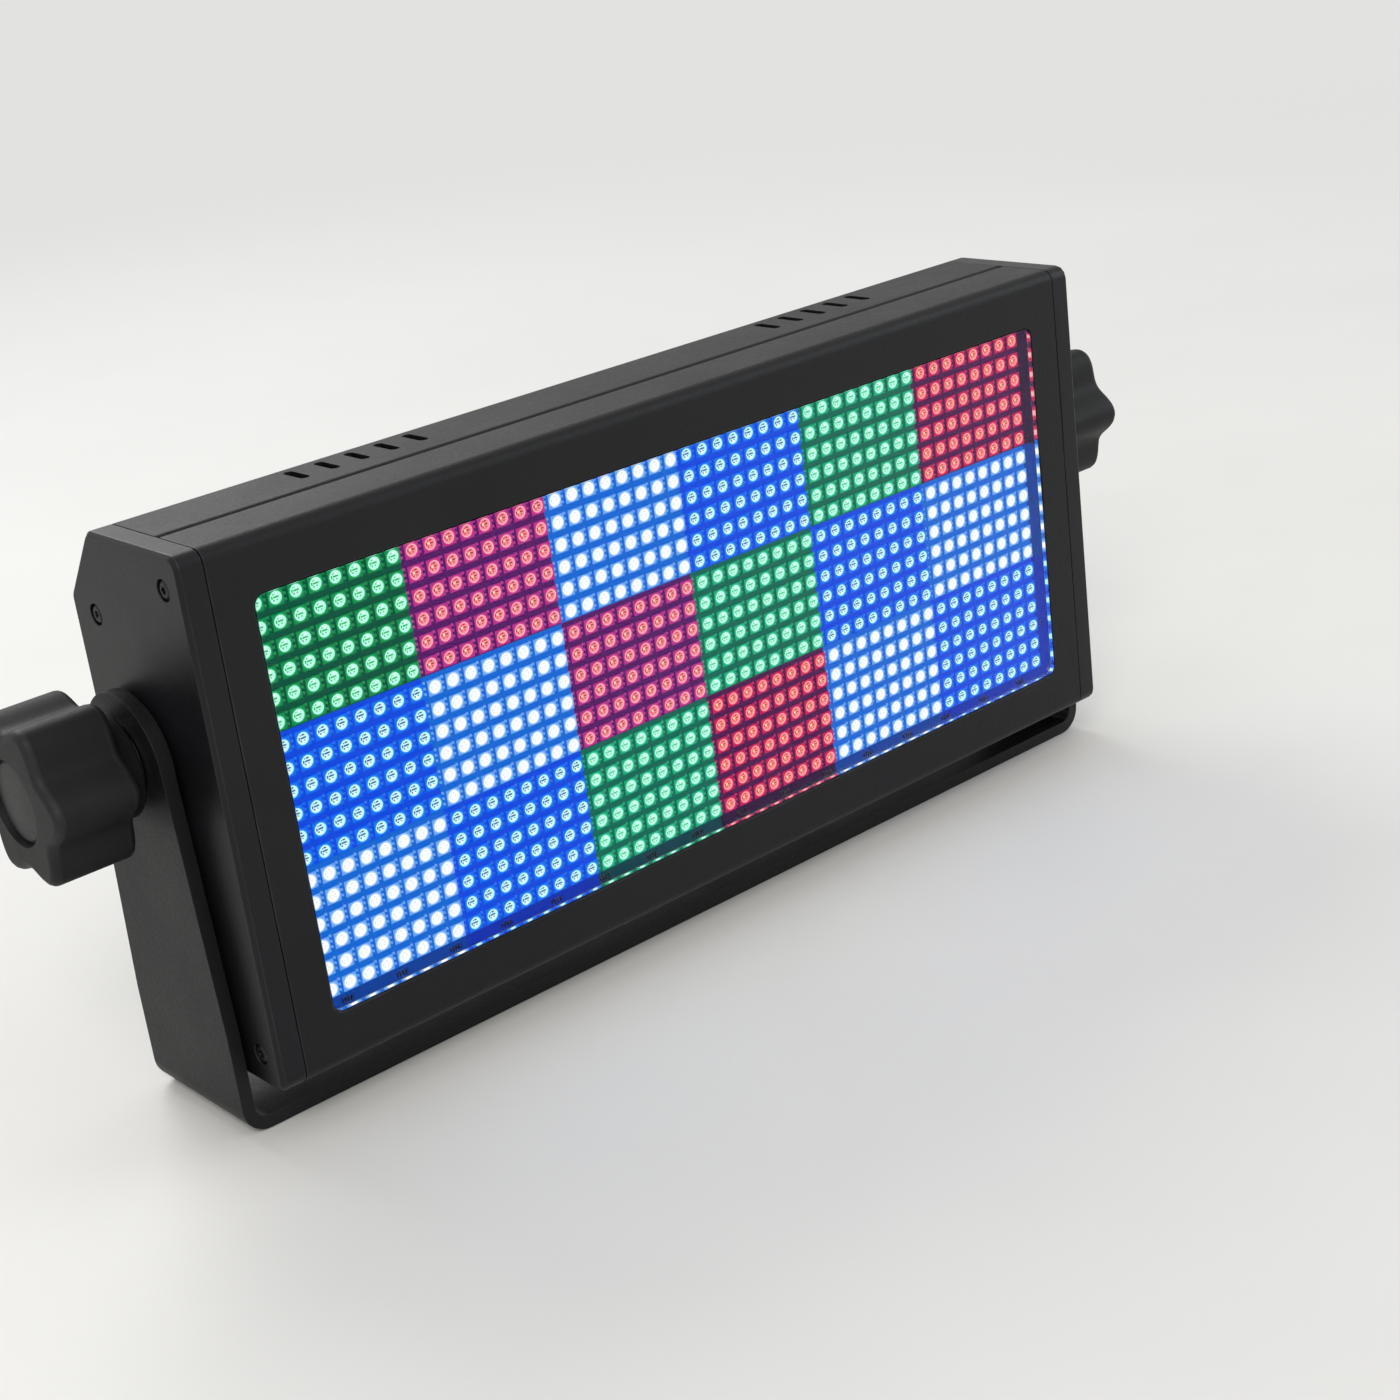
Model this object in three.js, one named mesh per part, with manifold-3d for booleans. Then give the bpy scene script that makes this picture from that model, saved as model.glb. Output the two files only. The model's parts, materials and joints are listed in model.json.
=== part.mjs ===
// LED strobe light: a flat head with a window of 864 lamps, tilting in a U-shaped steel bracket.
// Lengths are in millimetres. X runs to the right seen from the front, Y away from the viewer, Z up.
// The origin is at the middle of the outer box, on the surface that the bracket stands on.
// The head is drawn from the middle of the lamps' front faces, so its own Y is the depth behind them.

import * as THREE from "three";
import { mergeVertices } from "three/addons/utils/BufferGeometryUtils.js";
import Module from "manifold-3d";

const wasm = await Module();
wasm.setup();

// Clearances
const seat = 0.3;
const running = 0.3;
const overrun = 2;

// Light field
const columns = 48;
const rows = 18;
const pitchX = 6.2;
const pitchZ = 6.65;
const packageSize = 5;
const packageHeight = 1.6;
const boardThickness = 1.6;
const boardSeam = 0.4;
const fieldWidth = columns * pitchX;
const fieldHeight = rows * pitchZ;

// Housing
const sideBorder = 20.2;
const edgeBorder = 17.15;
const housingDepth = 64;
const faceAhead = 7.4;
const sheet = 1.5;
const bendRadius = 4;
const chamferDepth = 16.5;
const chamferHeight = 20;
const coverReturn = 14;
const coverSeam = 0.5;
const lapReach = 8;
const jogRadius = 1.8;
const lipHeight = 8;
const openingSideMargin = 0.5;
const openingTopMargin = 1.2;
const openingRadius = 3.5;
const gasketRadius = 1;
const housingWidth = fieldWidth + 2 * sideBorder;
const housingHeight = fieldHeight + 2 * edgeBorder;
const rearFace = housingDepth - faceAhead;

// Vents in the top and bottom shells
const ventCount = 5;
const ventWidth = 3;
const ventLength = 11;
const ventPitch = 10;
const ventFromRear = 19;
const ventGroupShare = 0.55;

// End caps
const capWidth = 7.7;
const capWall = 2.5;
const capBevel = 1.2;
const capTabLength = 11;
const capTabDepth = 18;
const capTabThickness = 1.6;
const bossRadius = 11;
const bossReach = 10;
const insertRadius = 6;
const capInside = housingWidth / 2 - capWidth;
const shellHalf = capInside - seat;

// Window, and the gasket that holds it by its edge
const windowThickness = 3.5;
const windowBevel = 0.5;
const gasketLap = 4;
const gasketWall = 1.6;
const windowFront = seat - faceAhead;
const windowBack = windowFront + windowThickness;
const openingWidth = fieldWidth + 2 * openingSideMargin;
const openingHeight = fieldHeight + 2 * openingTopMargin;
const boardWidth = openingWidth + 2 * gasketLap;
const boardHeight = openingHeight + 2 * gasketLap;

// Heatsink
const sinkBase = 4;
const finHeight = 11.5;
const finThickness = 2;
const finCount = 18;
const sinkFront = packageHeight + boardThickness + seat;
const finEnd = sinkFront + sinkBase + finHeight;

// Chassis plate behind the heatsink
const chassisSheet = 1.2;
const chassisBend = 2.4;
const chassisFlange = 6;
const standoffRadius = 3;
const standoffReach = 4.5;
const chassisFront = finEnd + seat;
const chassisBack = chassisFront + chassisSheet;
const chassisHalf = capInside - capTabLength - seat;

// Circuit boards in the bay behind the chassis plate
const circuitSheet = 1.6;
const standoffInset = 6;
const circuitFront = chassisBack + standoffReach + seat;
const circuitBack = circuitFront + circuitSheet;
const supplyWidth = 100;
const supplyHeight = 104;
const driverWidth = 92;
const driverHeight = 104;

// Rear panel
const panelLap = 6.5;
const panelOut = rearFace - sheet - seat;
const panelIn = panelOut - sheet;
const panelHeight = housingHeight - 2 * (chamferHeight + lipHeight - panelLap);
const displayPlaceShare = 0.07;
const displayRiseShare = 0.16;
const buttonRiseShare = -0.13;
const fanPlaceShare = 0.66;
const innerSocketShare = -0.46;
const outerSocketShare = -0.76;
const socketRiseShare = 0.205;
const fusePlaceShare = 0.07;
const fuseRiseShare = -0.25;
const eyePlaceShare = -0.22;
const eyeRiseShare = 0.2;

// Fan
const fanSize = 60;
const fanDepth = 15;
const fanWall = 1.5;
const fanHubRadius = 13;
const fanCorner = 4;
const strutWidth = 4;
const strutDepth = 2.5;
const fanPlateDepth = 3;
const bladeCount = 7;
const bladeThickness = 1.2;
const bladeChord = 11;
const bladeRootAngle = 52;
const bladeTipAngle = 34;
const rotorDepth = 8.5;
const rotorGap = 1;
const shaftRadius = 1.6;
const shaftReach = 2.4;
const guardSheet = 1.6;
const guardRim = 2.4;
const guardRings = 3;
const guardBar = 1.8;
const guardHubRadius = 8;

// Display and menu buttons
const displayWidth = 58;
const displayHeight = 24;
const displayDepth = 5;
const displayLap = 2.5;
const displayPane = 2;
const buttonCount = 4;
const buttonPitch = 17;
const displayBoardMargin = 13.5;
const displayBoardWidth = (buttonCount - 1) * buttonPitch + 2 * displayBoardMargin;
const displayBoardHeight = 66;
const buttonRadius = 4.5;
const buttonFlange = 1.2;
const buttonProud = 1.8;
const buttonTravel = 1;
const switchSize = 6;
const switchHeight = 3.6;

// Sockets on the rear panel
const flangeWidth = 26;
const flangeHeight = 31;
const flangeThickness = 2;
const flangeRadius = 3;
const barrelRadius = 11.7;
const barrelDepthShare = 0.61;
const signalBore = 9.5;
const signalBoreShare = 0.66;
const grooveWidth = 1.6;
const grooveDepth = 6;
const latchWidth = 7;
const latchHeight = 3.6;
const latchProud = 1.4;
const latchTravel = 1.2;
const mainsWidth = 27;
const mainsHeight = 20;
const mainsDepthShare = 0.65;
const mainsWall = 2.4;
const mainsBoreShare = 0.72;
const mainsCorner = 4;
const mainsRim = 3;
const slotWidth = 2;
const slotHeight = 5;
const slotPitch = 6.5;
const slotDrop = 2.4;
const slotDepth = 8;

// Fuse holder
const fuseRadius = 6;
const fuseWall = 1.6;
const fuseDepthShare = 0.72;
const fuseFlangeRadius = 8.5;
const fuseFlange = 2;
const fuseCapHeight = 5;
const fuseSlotWidth = 1.4;
const fuseSlotDepth = 1.6;

// Safety eye
const eyeWidth = 20;
const eyeHeight = 15;
const eyeReach = 20;
const eyeSheet = 2;
const eyeBend = 3;
const eyeHoleRadius = 5.5;

// Parts on the supply board, with their places as shares of its width and height
const transformerShares = [0.22, 0.1];
const capacitorShares = [-0.24, 0.12];
const chokeShares = [-0.28, -0.26];
const coolerShares = [0, 0.42];
const terminalShares = [0.25, -0.38];
const windingShare = 0.7;
const windingRiseShare = 0.8;
const windingCornerShare = 0.19;
const rimShare = 0.9;
const mouthWidthShare = 0.2;
const mouthPitchShare = 0.3;
const coreWidth = 30;
const coreHeight = 34;
const windingOver = 2.5;
const bulkLength = 26;
const chokeRadius = 9;
const chokeWire = 3;
const coolerWidth = 60;
const coolerThickness = 2.5;
const coolerFoot = 10;
const terminalWidth = 24;
const terminalDepth = 10;
const partRiseShare = 0.73;

// Parts on the driver board
const driverSpreadShare = 0.2;
const driverRowShare = 0.56;
const switchRows = 2;
const switchesInRow = 3;
const chipWidth = 6.5;
const chipHeight = 6;
const chipRise = 2.4;
const processorSize = 12;
const processorRise = 1.6;

// Tilt bracket and its knobs
const pivotBack = 32.6;
const pivotRise = 15;
const frictionWasher = 1.4;
const frictionRadius = 17;
const bracketSheet = 4;
const bracketBend = 8;
const bracketWidth = 50;
const armRadius = 20;
const armTaperShare = 0.3;
const barClearance = 3.7;
const boltClearance = 0.4;
const clampHoleRadius = 6.5;
const clampSlotWidth = 9;
const clampSlotLength = 34;
const clampSlotShare = 0.42;
const studRadius = 4;
const studInHead = 13;
const studInKnob = 10;
const steelWasher = 1.4;
const steelWasherRadius = 11;
const knobRadius = 24.5;
const knobLobes = 6;
const knobHollow = 5;
const knobGrip = 25;
const knobBevel = 2.4;
const knobNeck = 6;
const knobNeckRadius = 15;
const knobRecess = 2;
const knobRecessRadius = 12;
const armInside = housingWidth / 2 + frictionWasher + 2 * seat;
const armOutside = armInside + bracketSheet;
const knobStart = armOutside + steelWasher + 2 * seat;
const knobEnd = knobStart + knobNeck + knobGrip;
const swing = Math.hypot(housingHeight / 2 + pivotRise, pivotBack + faceAhead);
const pivotHeight = bracketSheet + barClearance + swing;
const bay = panelIn - circuitBack;
const barrelDepth = barrelDepthShare * bay;
const mainsDepth = mainsDepthShare * bay;
const fuseDepth = fuseDepthShare * bay;
const rearmost = panelOut + seat + eyeReach;
const middle = (rearmost - faceAhead) / 2;

// How finely round forms are drawn
const bendSteps = 3;
const cornerSteps = 2;
const bevelSteps = 1;
const roundSteps = 14;
const smallSteps = 8;
const postSteps = 5;
const guardSteps = 18;
const lobeSteps = 5;

const xAxis = new THREE.Vector3(1, 0, 0);
const yAxis = new THREE.Vector3(0, 1, 0);
const zAxis = new THREE.Vector3(0, 0, 1);

// Where an outline drawn flat goes when it is extruded along each axis
const drawnAcross = {
  x: new THREE.Matrix4().makeBasis(yAxis, zAxis, xAxis),
  y: new THREE.Matrix4().makeBasis(xAxis, zAxis, yAxis.clone().negate()),
  z: new THREE.Matrix4(),
};

// Where the axis of a turned piece goes
const turnedAbout = {
  x: new THREE.Matrix4().makeBasis(yAxis, xAxis, zAxis.clone().negate()),
  y: new THREE.Matrix4(),
};

function at(a, b) {
  return new THREE.Vector2(a, b);
}

function leftOf(direction) {
  return at(-direction.y, direction.x);
}

// Points of an arc, both ends included, from one angle to another in degrees.
function arc(centre, radius, from, to, steps) {
  return Array.from({ length: steps + 1 }, (_, step) => {
    const angle = THREE.MathUtils.degToRad(from + ((to - from) * step) / steps);
    return at(centre.x + radius * Math.cos(angle), centre.y + radius * Math.sin(angle));
  });
}

function circle(radius, centre = at(0, 0), steps = roundSteps) {
  return arc(centre, radius, 0, 360, steps).slice(0, steps);
}

function rectangle(width, height, centre = at(0, 0)) {
  return [
    at(centre.x - width / 2, centre.y - height / 2),
    at(centre.x + width / 2, centre.y - height / 2),
    at(centre.x + width / 2, centre.y + height / 2),
    at(centre.x - width / 2, centre.y + height / 2),
  ];
}

function roundedRectangle(width, height, radius, centre = at(0, 0), steps = cornerSteps) {
  const signs = [at(1, 1), at(-1, 1), at(-1, -1), at(1, -1)];
  return signs.flatMap((sign, quarter) => {
    const corner = at(
      centre.x + sign.x * (width / 2 - radius),
      centre.y + sign.y * (height / 2 - radius),
    );
    return arc(corner, radius, quarter * 90, quarter * 90 + 90, steps);
  });
}

// A line through corners [a, b, radius], rounded at each inner corner, with its left normals.
function filleted(corners, closed) {
  const count = corners.length;
  const points = corners.map(([a, b]) => at(a, b));
  return points.flatMap((here, i) => {
    const radius = corners[i][2] ?? 0;
    const before = closed || i > 0 ? points[(i + count - 1) % count] : null;
    const after = closed || i < count - 1 ? points[(i + 1) % count] : null;
    const arriving = here.clone().sub(before ?? here).normalize();
    const leaving = (after ?? here).clone().sub(here).normalize();
    if (!before || !after) {
      return [{ point: here, normal: leftOf(before ? arriving : leaving) }];
    }
    const turn = Math.atan2(arriving.cross(leaving), arriving.dot(leaving));
    const side = Math.sign(turn);
    const start = here.clone().addScaledVector(arriving, -radius * Math.tan(Math.abs(turn) / 2));
    const centre = start.addScaledVector(leftOf(arriving), side * radius);
    return Array.from({ length: bendSteps + 1 }, (_, step) => {
      const normal = leftOf(arriving).rotateAround(at(0, 0), (turn * step) / bendSteps);
      return { point: centre.clone().addScaledVector(normal, -side * radius), normal };
    });
  });
}

// The section of a sheet bent along a line of corners, with its thickness to one side.
function bentSheet(corners, thickness, inward) {
  const path = filleted(corners, false);
  const inner = path.map(({ point, normal }) =>
    point.clone().addScaledVector(normal, inward * thickness),
  );
  return [...path.map(({ point }) => point), ...inner.reverse()];
}

// An outline with holes, pushed along an axis from one place to another.
function extruded(outline, axis, from, to, holes = [], bevel = 0) {
  const shape = new THREE.Shape(outline);
  holes.forEach((hole) => shape.holes.push(new THREE.Path(hole)));
  const geometry = new THREE.ExtrudeGeometry(shape, {
    depth: to - from - 2 * bevel,
    bevelEnabled: bevel > 0,
    bevelThickness: bevel,
    bevelSize: bevel,
    bevelOffset: -bevel,
    bevelSegments: bevelSteps,
  });
  geometry.translate(0, 0, axis === "y" ? bevel - to : bevel + from);
  return geometry.applyMatrix4(drawnAcross[axis]);
}

// A profile of [radius, place] pairs turned about an axis.
function turned(profile, axis, steps = roundSteps) {
  const points = profile.map(([radius, place]) => at(radius, place));
  return new THREE.LatheGeometry(points, steps).applyMatrix4(turnedAbout[axis]);
}

function block(width, depth, height, x, y, z) {
  return new THREE.BoxGeometry(width, depth, height).translate(x, y, z);
}

// A closed geometry as a solid that can be joined and cut.
function toSolid(geometry) {
  const bare = geometry.clone();
  bare.deleteAttribute("normal");
  bare.deleteAttribute("uv");
  const merged = mergeVertices(bare);
  const corners = merged.index.array;
  const kept = [];
  for (let i = 0; i < corners.length; i += 3) {
    const [a, b, c] = corners.slice(i, i + 3);
    if (a !== b && b !== c && c !== a) {
      kept.push(a, b, c);
    }
  }
  const vertProperties = merged.attributes.position.array;
  const facing = (triVerts) =>
    new wasm.Manifold(new wasm.Mesh({ numProp: 3, vertProperties, triVerts }));
  const solid = facing(new Uint32Array(kept));
  return solid.volume() < 0 ? facing(new Uint32Array(kept.reverse())) : solid;
}

function toGeometry(solid) {
  const { numProp, numVert, vertProperties, triVerts } = solid.getMesh();
  const places = new Float32Array(numVert * 3);
  for (let i = 0; i < numVert; i++) {
    places.set(vertProperties.subarray(i * numProp, i * numProp + 3), i * 3);
  }
  const geometry = new THREE.BufferGeometry();
  geometry.setAttribute("position", new THREE.BufferAttribute(places, 3));
  geometry.setIndex(new THREE.BufferAttribute(triVerts, 1));
  const flat = geometry.toNonIndexed();
  flat.computeVertexNormals();
  return flat;
}

function joined(...geometries) {
  return toGeometry(geometries.map(toSolid).reduce((sum, solid) => sum.add(solid)));
}

function cut(base, ...cutters) {
  return toGeometry(cutters.map(toSolid).reduce((rest, tool) => rest.subtract(tool), toSolid(base)));
}

// A plate with holes cut right through it.
function punched(plate, axis, from, to, outlines) {
  const cutters = outlines.map((hole) => extruded(hole, axis, from - overrun, to + overrun));
  return cut(plate, ...cutters);
}

function shared(a, b) {
  return toGeometry(toSolid(a).intersect(toSolid(b)));
}

function finish(color, roughness, metalness) {
  return { color, roughness, metalness };
}

const powderCoat = finish(0x141518, 0.55, 0.2);
const mouldedBlack = finish(0x101113, 0.5, 0);
const softBlack = finish(0x0c0c0d, 0.9, 0);
const clearPane = finish(0xdfe6ea, 0.05, 0);
const darkPane = finish(0x1b2320, 0.08, 0);
const lampBoard = finish(0xe8e6dc, 0.6, 0);
const bareAluminium = finish(0xb9bcc0, 0.35, 0.9);
const zincSteel = finish(0xa9adb0, 0.4, 0.9);
const brass = finish(0xb89a4a, 0.35, 0.9);
const greenBoard = finish(0x1f5a38, 0.5, 0);
const ferrite = finish(0x3a3b3d, 0.7, 0);
const displayGlass = finish(0x24405c, 0.2, 0);

function piece(group, name, geometry, looks) {
  const mesh = new THREE.Mesh(geometry, new THREE.MeshStandardMaterial(looks));
  mesh.name = name;
  group.add(mesh);
}

// The light field: each lamp package is a flat-topped block whose foot reaches the middle of the gaps,
// so that all packages of a board stand on one lattice of grooves.
function lampBoardHalf(side) {
  const places = [];
  const faces = [];
  const vertex = (x, y, z) => places.push(x, y, z) / 3 - 1;
  const quad = (a, b, c, d) => faces.push(a, b, c, a, c, d);
  const half = columns / 2;
  const first = side < 0 ? 0 : half;
  const gridX = Array.from({ length: half + 1 }, (_, i) => (first + i) * pitchX - fieldWidth / 2);
  gridX[side < 0 ? half : 0] = (side * boardSeam) / 2;
  gridX.splice(side < 0 ? 0 : half + 1, 0, (side * boardWidth) / 2);
  const gridZ = Array.from({ length: rows + 1 }, (_, j) => j * pitchZ - fieldHeight / 2);
  gridZ.unshift(-boardHeight / 2);
  gridZ.push(boardHeight / 2);
  const lattice = gridX.map((x) => gridZ.map((z) => vertex(x, packageHeight, z)));
  const marginCell = side < 0 ? 0 : half;
  for (let i = 0; i < gridX.length - 1; i++) {
    for (let j = 0; j < gridZ.length - 1; j++) {
      const foot = [lattice[i][j], lattice[i + 1][j], lattice[i + 1][j + 1], lattice[i][j + 1]];
      if (i === marginCell || j === 0 || j === rows + 1) {
        quad(...foot);
        continue;
      }
      const column = first + i - (side < 0 ? 1 : 0);
      const x = (column + 0.5) * pitchX - fieldWidth / 2;
      const z = (j - 0.5) * pitchZ - fieldHeight / 2;
      const top = rectangle(packageSize, packageSize, at(x, z)).map((p) => vertex(p.x, 0, p.y));
      quad(...top);
      foot.forEach((corner, k) => quad(corner, foot[(k + 1) % 4], top[(k + 1) % 4], top[k]));
    }
  }
  const rim = [
    lattice.map((line) => line[0]),
    lattice.at(-1),
    lattice.map((line) => line.at(-1)).reverse(),
    [...lattice[0]].reverse(),
  ];
  const back = packageHeight + boardThickness;
  const rearCorners = rim.map((edge) =>
    vertex(places[3 * edge[0]], back, places[3 * edge[0] + 2]),
  );
  rim.forEach((edge, k) => {
    const here = rearCorners[k];
    const next = rearCorners[(k + 1) % 4];
    edge.slice(1).forEach((corner, i) => faces.push(here, corner, edge[i]));
    faces.push(here, next, edge.at(-1));
  });
  quad(...rearCorners.reverse());
  const geometry = new THREE.BufferGeometry();
  geometry.setAttribute("position", new THREE.Float32BufferAttribute(places, 3));
  geometry.setIndex(faces);
  return toGeometry(toSolid(geometry));
}

// Housing sheets
function frontCover() {
  const top = housingHeight / 2;
  const line = [
    [coverReturn, top],
    [-faceAhead, top, bendRadius],
    [-faceAhead, -top, bendRadius],
    [coverReturn, -top],
  ];
  const body = extruded(bentSheet(line, sheet, 1), "x", -shellHalf, shellHalf);
  const opening = roundedRectangle(openingWidth, openingHeight, openingRadius);
  const cutter = extruded(opening, "y", -faceAhead - overrun, sheet + overrun - faceAhead);
  return cut(body, cutter);
}

function shell(side) {
  const top = housingHeight / 2;
  const under = top - sheet - seat;
  const jog = coverReturn + coverSeam;
  const line = [
    [coverReturn - lapReach, under],
    [jog, under, jogRadius],
    [jog + sheet + seat, top, jogRadius],
    [rearFace - chamferDepth, top, bendRadius],
    [rearFace, top - chamferHeight, bendRadius],
    [rearFace, top - chamferHeight - lipHeight],
  ].map(([y, z, radius]) => [y, side * z, radius]);
  const body = extruded(bentSheet(line, sheet, -side), "x", -shellHalf, shellHalf);
  const vents = [-1, 1].flatMap((group) =>
    Array.from({ length: ventCount }, (_, i) => {
      const x = group * ventGroupShare * shellHalf + (i - (ventCount - 1) / 2) * ventPitch;
      const place = at(x, rearFace - chamferDepth - ventFromRear / 2);
      const slot = rectangle(ventWidth, ventLength, place);
      const inner = top - sheet - overrun;
      const outer = top + overrun;
      return extruded(slot, "z", Math.min(side * inner, side * outer), Math.max(side * inner, side * outer));
    }),
  );
  return cut(body, ...vents);
}

// The housing's side outline, drawn in by a wall where one is asked for
function sideOutline(wall) {
  const top = housingHeight / 2;
  const corners = [
    [-faceAhead, -top, bendRadius],
    [rearFace - chamferDepth, -top, bendRadius],
    [rearFace, chamferHeight - top, bendRadius],
    [rearFace, top - chamferHeight, bendRadius],
    [rearFace - chamferDepth, top, bendRadius],
    [-faceAhead, top, bendRadius],
  ];
  return filleted(corners, true).map(({ point, normal }) =>
    point.clone().addScaledVector(normal, wall),
  );
}

function endCap() {
  const outside = housingWidth / 2;
  const pivot = at(pivotBack, pivotRise);
  const blank = extruded(sideOutline(0), "x", capInside - capBevel, outside, [], capBevel);
  const trim = block(
    2 * capBevel, 2 * housingDepth, 2 * housingHeight, capInside - capBevel, pivotBack, 0,
  );
  const pocket = extruded(sideOutline(capWall), "x", capInside - overrun, outside - capWall);
  const boss = extruded(circle(bossRadius, pivot), "x", capInside - bossReach, outside - capWall / 2);
  const tabMiddle = housingHeight / 2 - sheet - seat - capTabThickness / 2;
  const tabs = [-1, 1].map((side) =>
    block(
      capTabLength + capWall, capTabDepth, capTabThickness,
      capInside - capTabLength / 2 + capWall / 2,
      rearFace - chamferDepth - bendRadius - capTabDepth / 2, side * tabMiddle,
    ),
  );
  const bore = extruded(
    circle(insertRadius + seat, pivot), "x", capInside - bossReach - overrun, outside - capWall,
  );
  const way = extruded(
    circle(studRadius + boltClearance, pivot), "x", capInside - overrun, outside + overrun,
  );
  return cut(joined(cut(blank, trim, pocket), boss, ...tabs), bore, way);
}

function pivotInsert() {
  const from = capInside - bossReach + seat;
  const to = housingWidth / 2 - capWall - seat;
  const pivot = at(pivotBack, pivotRise);
  const bore = circle(studRadius + running, pivot, smallSteps);
  return extruded(circle(insertRadius, pivot, smallSteps), "x", from, to, [bore]);
}

// Window, gasket and heatsink
function windowOutline(growth, radius) {
  return roundedRectangle(openingWidth + 2 * growth, openingHeight + 2 * growth, radius);
}

function windowPane() {
  const outline = windowOutline(-seat, openingRadius - seat);
  return extruded(outline, "y", windowFront, windowBack, [], windowBevel);
}

// A lip grips the window's edge, and a thinner wall behind it reaches back to the lamp boards.
function windowGasket() {
  const outline = windowOutline(gasketLap, openingRadius);
  const lipFront = sheet + seat - faceAhead;
  const lip = extruded(outline, "y", lipFront, windowBack, [windowOutline(0, openingRadius)]);
  const inner = windowOutline(gasketLap - gasketWall, gasketRadius);
  const wall = extruded(outline, "y", lipFront, packageHeight - seat, [inner]);
  return joined(lip, wall);
}

function heatsink() {
  const back = sinkFront + sinkBase;
  const spacing = (boardWidth - finThickness) / (finCount - 1);
  const comb = Array.from({ length: finCount }, (_, i) => {
    const x = boardWidth / 2 - finThickness / 2 - i * spacing;
    return [
      at(x + finThickness / 2, back),
      at(x + finThickness / 2, finEnd),
      at(x - finThickness / 2, finEnd),
      at(x - finThickness / 2, back),
    ];
  }).flat();
  const outline = [
    at(-boardWidth / 2, sinkFront),
    at(boardWidth / 2, sinkFront),
    ...comb.slice(1, -1),
  ];
  return extruded(outline, "z", -boardHeight / 2, boardHeight / 2);
}

// Places on the rear panel, seen from the front
const displayX = displayPlaceShare * shellHalf;
const displayZ = displayRiseShare * housingHeight;
const buttonZ = buttonRiseShare * housingHeight;
const fanX = fanPlaceShare * shellHalf;
const innerSocketX = innerSocketShare * shellHalf;
const outerSocketX = outerSocketShare * shellHalf;
const socketZ = socketRiseShare * housingHeight;
const fuseX = fusePlaceShare * shellHalf;
const fuseZ = fuseRiseShare * housingHeight;
const eyeX = eyePlaceShare * shellHalf;
const eyeZ = eyeRiseShare * housingHeight;
const fanBore = fanSize / 2 - fanWall;
const supplyX = displayX;
const driverX = (innerSocketX + outerSocketX) / 2;

function buttonX(i) {
  return displayX + (i - (buttonCount - 1) / 2) * buttonPitch;
}

function boardPosts(x, width, height) {
  return [-1, 1].flatMap((across) =>
    [-1, 1].map((up) =>
      at(x + across * (width / 2 - standoffInset), up * (height / 2 - standoffInset)),
    ),
  );
}

function chassisPlate() {
  const top = housingHeight / 2 - sheet - seat;
  const line = [
    [chassisFront + chassisFlange, top],
    [chassisFront, top, chassisBend],
    [chassisFront, -top, chassisBend],
    [chassisFront + chassisFlange, -top],
  ];
  const body = extruded(bentSheet(line, chassisSheet, 1), "x", -chassisHalf, chassisHalf);
  const airway = extruded(
    circle(fanBore, at(fanX, 0)), "y", chassisFront - overrun, chassisBack + overrun,
  );
  const posts = [
    ...boardPosts(supplyX, supplyWidth, supplyHeight),
    ...boardPosts(driverX, driverWidth, driverHeight),
  ].map((place) =>
    extruded(
      circle(standoffRadius, place, postSteps), "y", chassisFront + chassisSheet / 2,
      chassisBack + standoffReach,
    ),
  );
  return joined(cut(body, airway), ...posts);
}

function rearPanel() {
  const holes = [
    rectangle(displayWidth - 2 * displayLap, displayHeight - 2 * displayLap, at(displayX, displayZ)),
    circle(fanBore, at(fanX, 0), guardSteps),
    circle(barrelRadius + seat, at(innerSocketX, socketZ)),
    circle(barrelRadius + seat, at(outerSocketX, socketZ)),
    rectangle(mainsWidth + 2 * seat, mainsHeight + 2 * seat, at(innerSocketX, -socketZ)),
    rectangle(mainsWidth + 2 * seat, mainsHeight + 2 * seat, at(outerSocketX, -socketZ)),
    circle(fuseRadius + seat, at(fuseX, fuseZ), smallSteps),
  ];
  for (let i = 0; i < buttonCount; i++) {
    holes.push(circle(buttonRadius + running, at(buttonX(i), buttonZ), smallSteps));
  }
  const plate = extruded(rectangle(2 * shellHalf, panelHeight), "y", panelIn, panelOut);
  return punched(plate, "y", panelIn, panelOut, holes);
}

// Fan
const fanRear = panelIn - seat;
const fanFront = fanRear - fanDepth;

function fanFrame() {
  const centre = at(fanX, 0);
  const outline = roundedRectangle(fanSize, fanSize, fanCorner, centre);
  const rim = extruded(outline, "y", fanFront, fanRear, [circle(fanBore, centre, guardSteps)]);
  const hub = extruded(circle(fanHubRadius, centre, smallSteps), "y", fanFront, fanFront + fanPlateDepth);
  const reach = fanSize - fanWall;
  const strutY = fanFront + strutDepth / 2;
  const struts = [
    block(reach, strutDepth, strutWidth, fanX, strutY, 0),
    block(strutWidth, strutDepth, reach, fanX, strutY, 0),
  ];
  const bore = extruded(
    circle(shaftRadius + running, centre, smallSteps), "y", fanFront - overrun,
    fanFront + fanPlateDepth + overrun,
  );
  return cut(joined(rim, hub, ...struts), bore);
}

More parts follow.
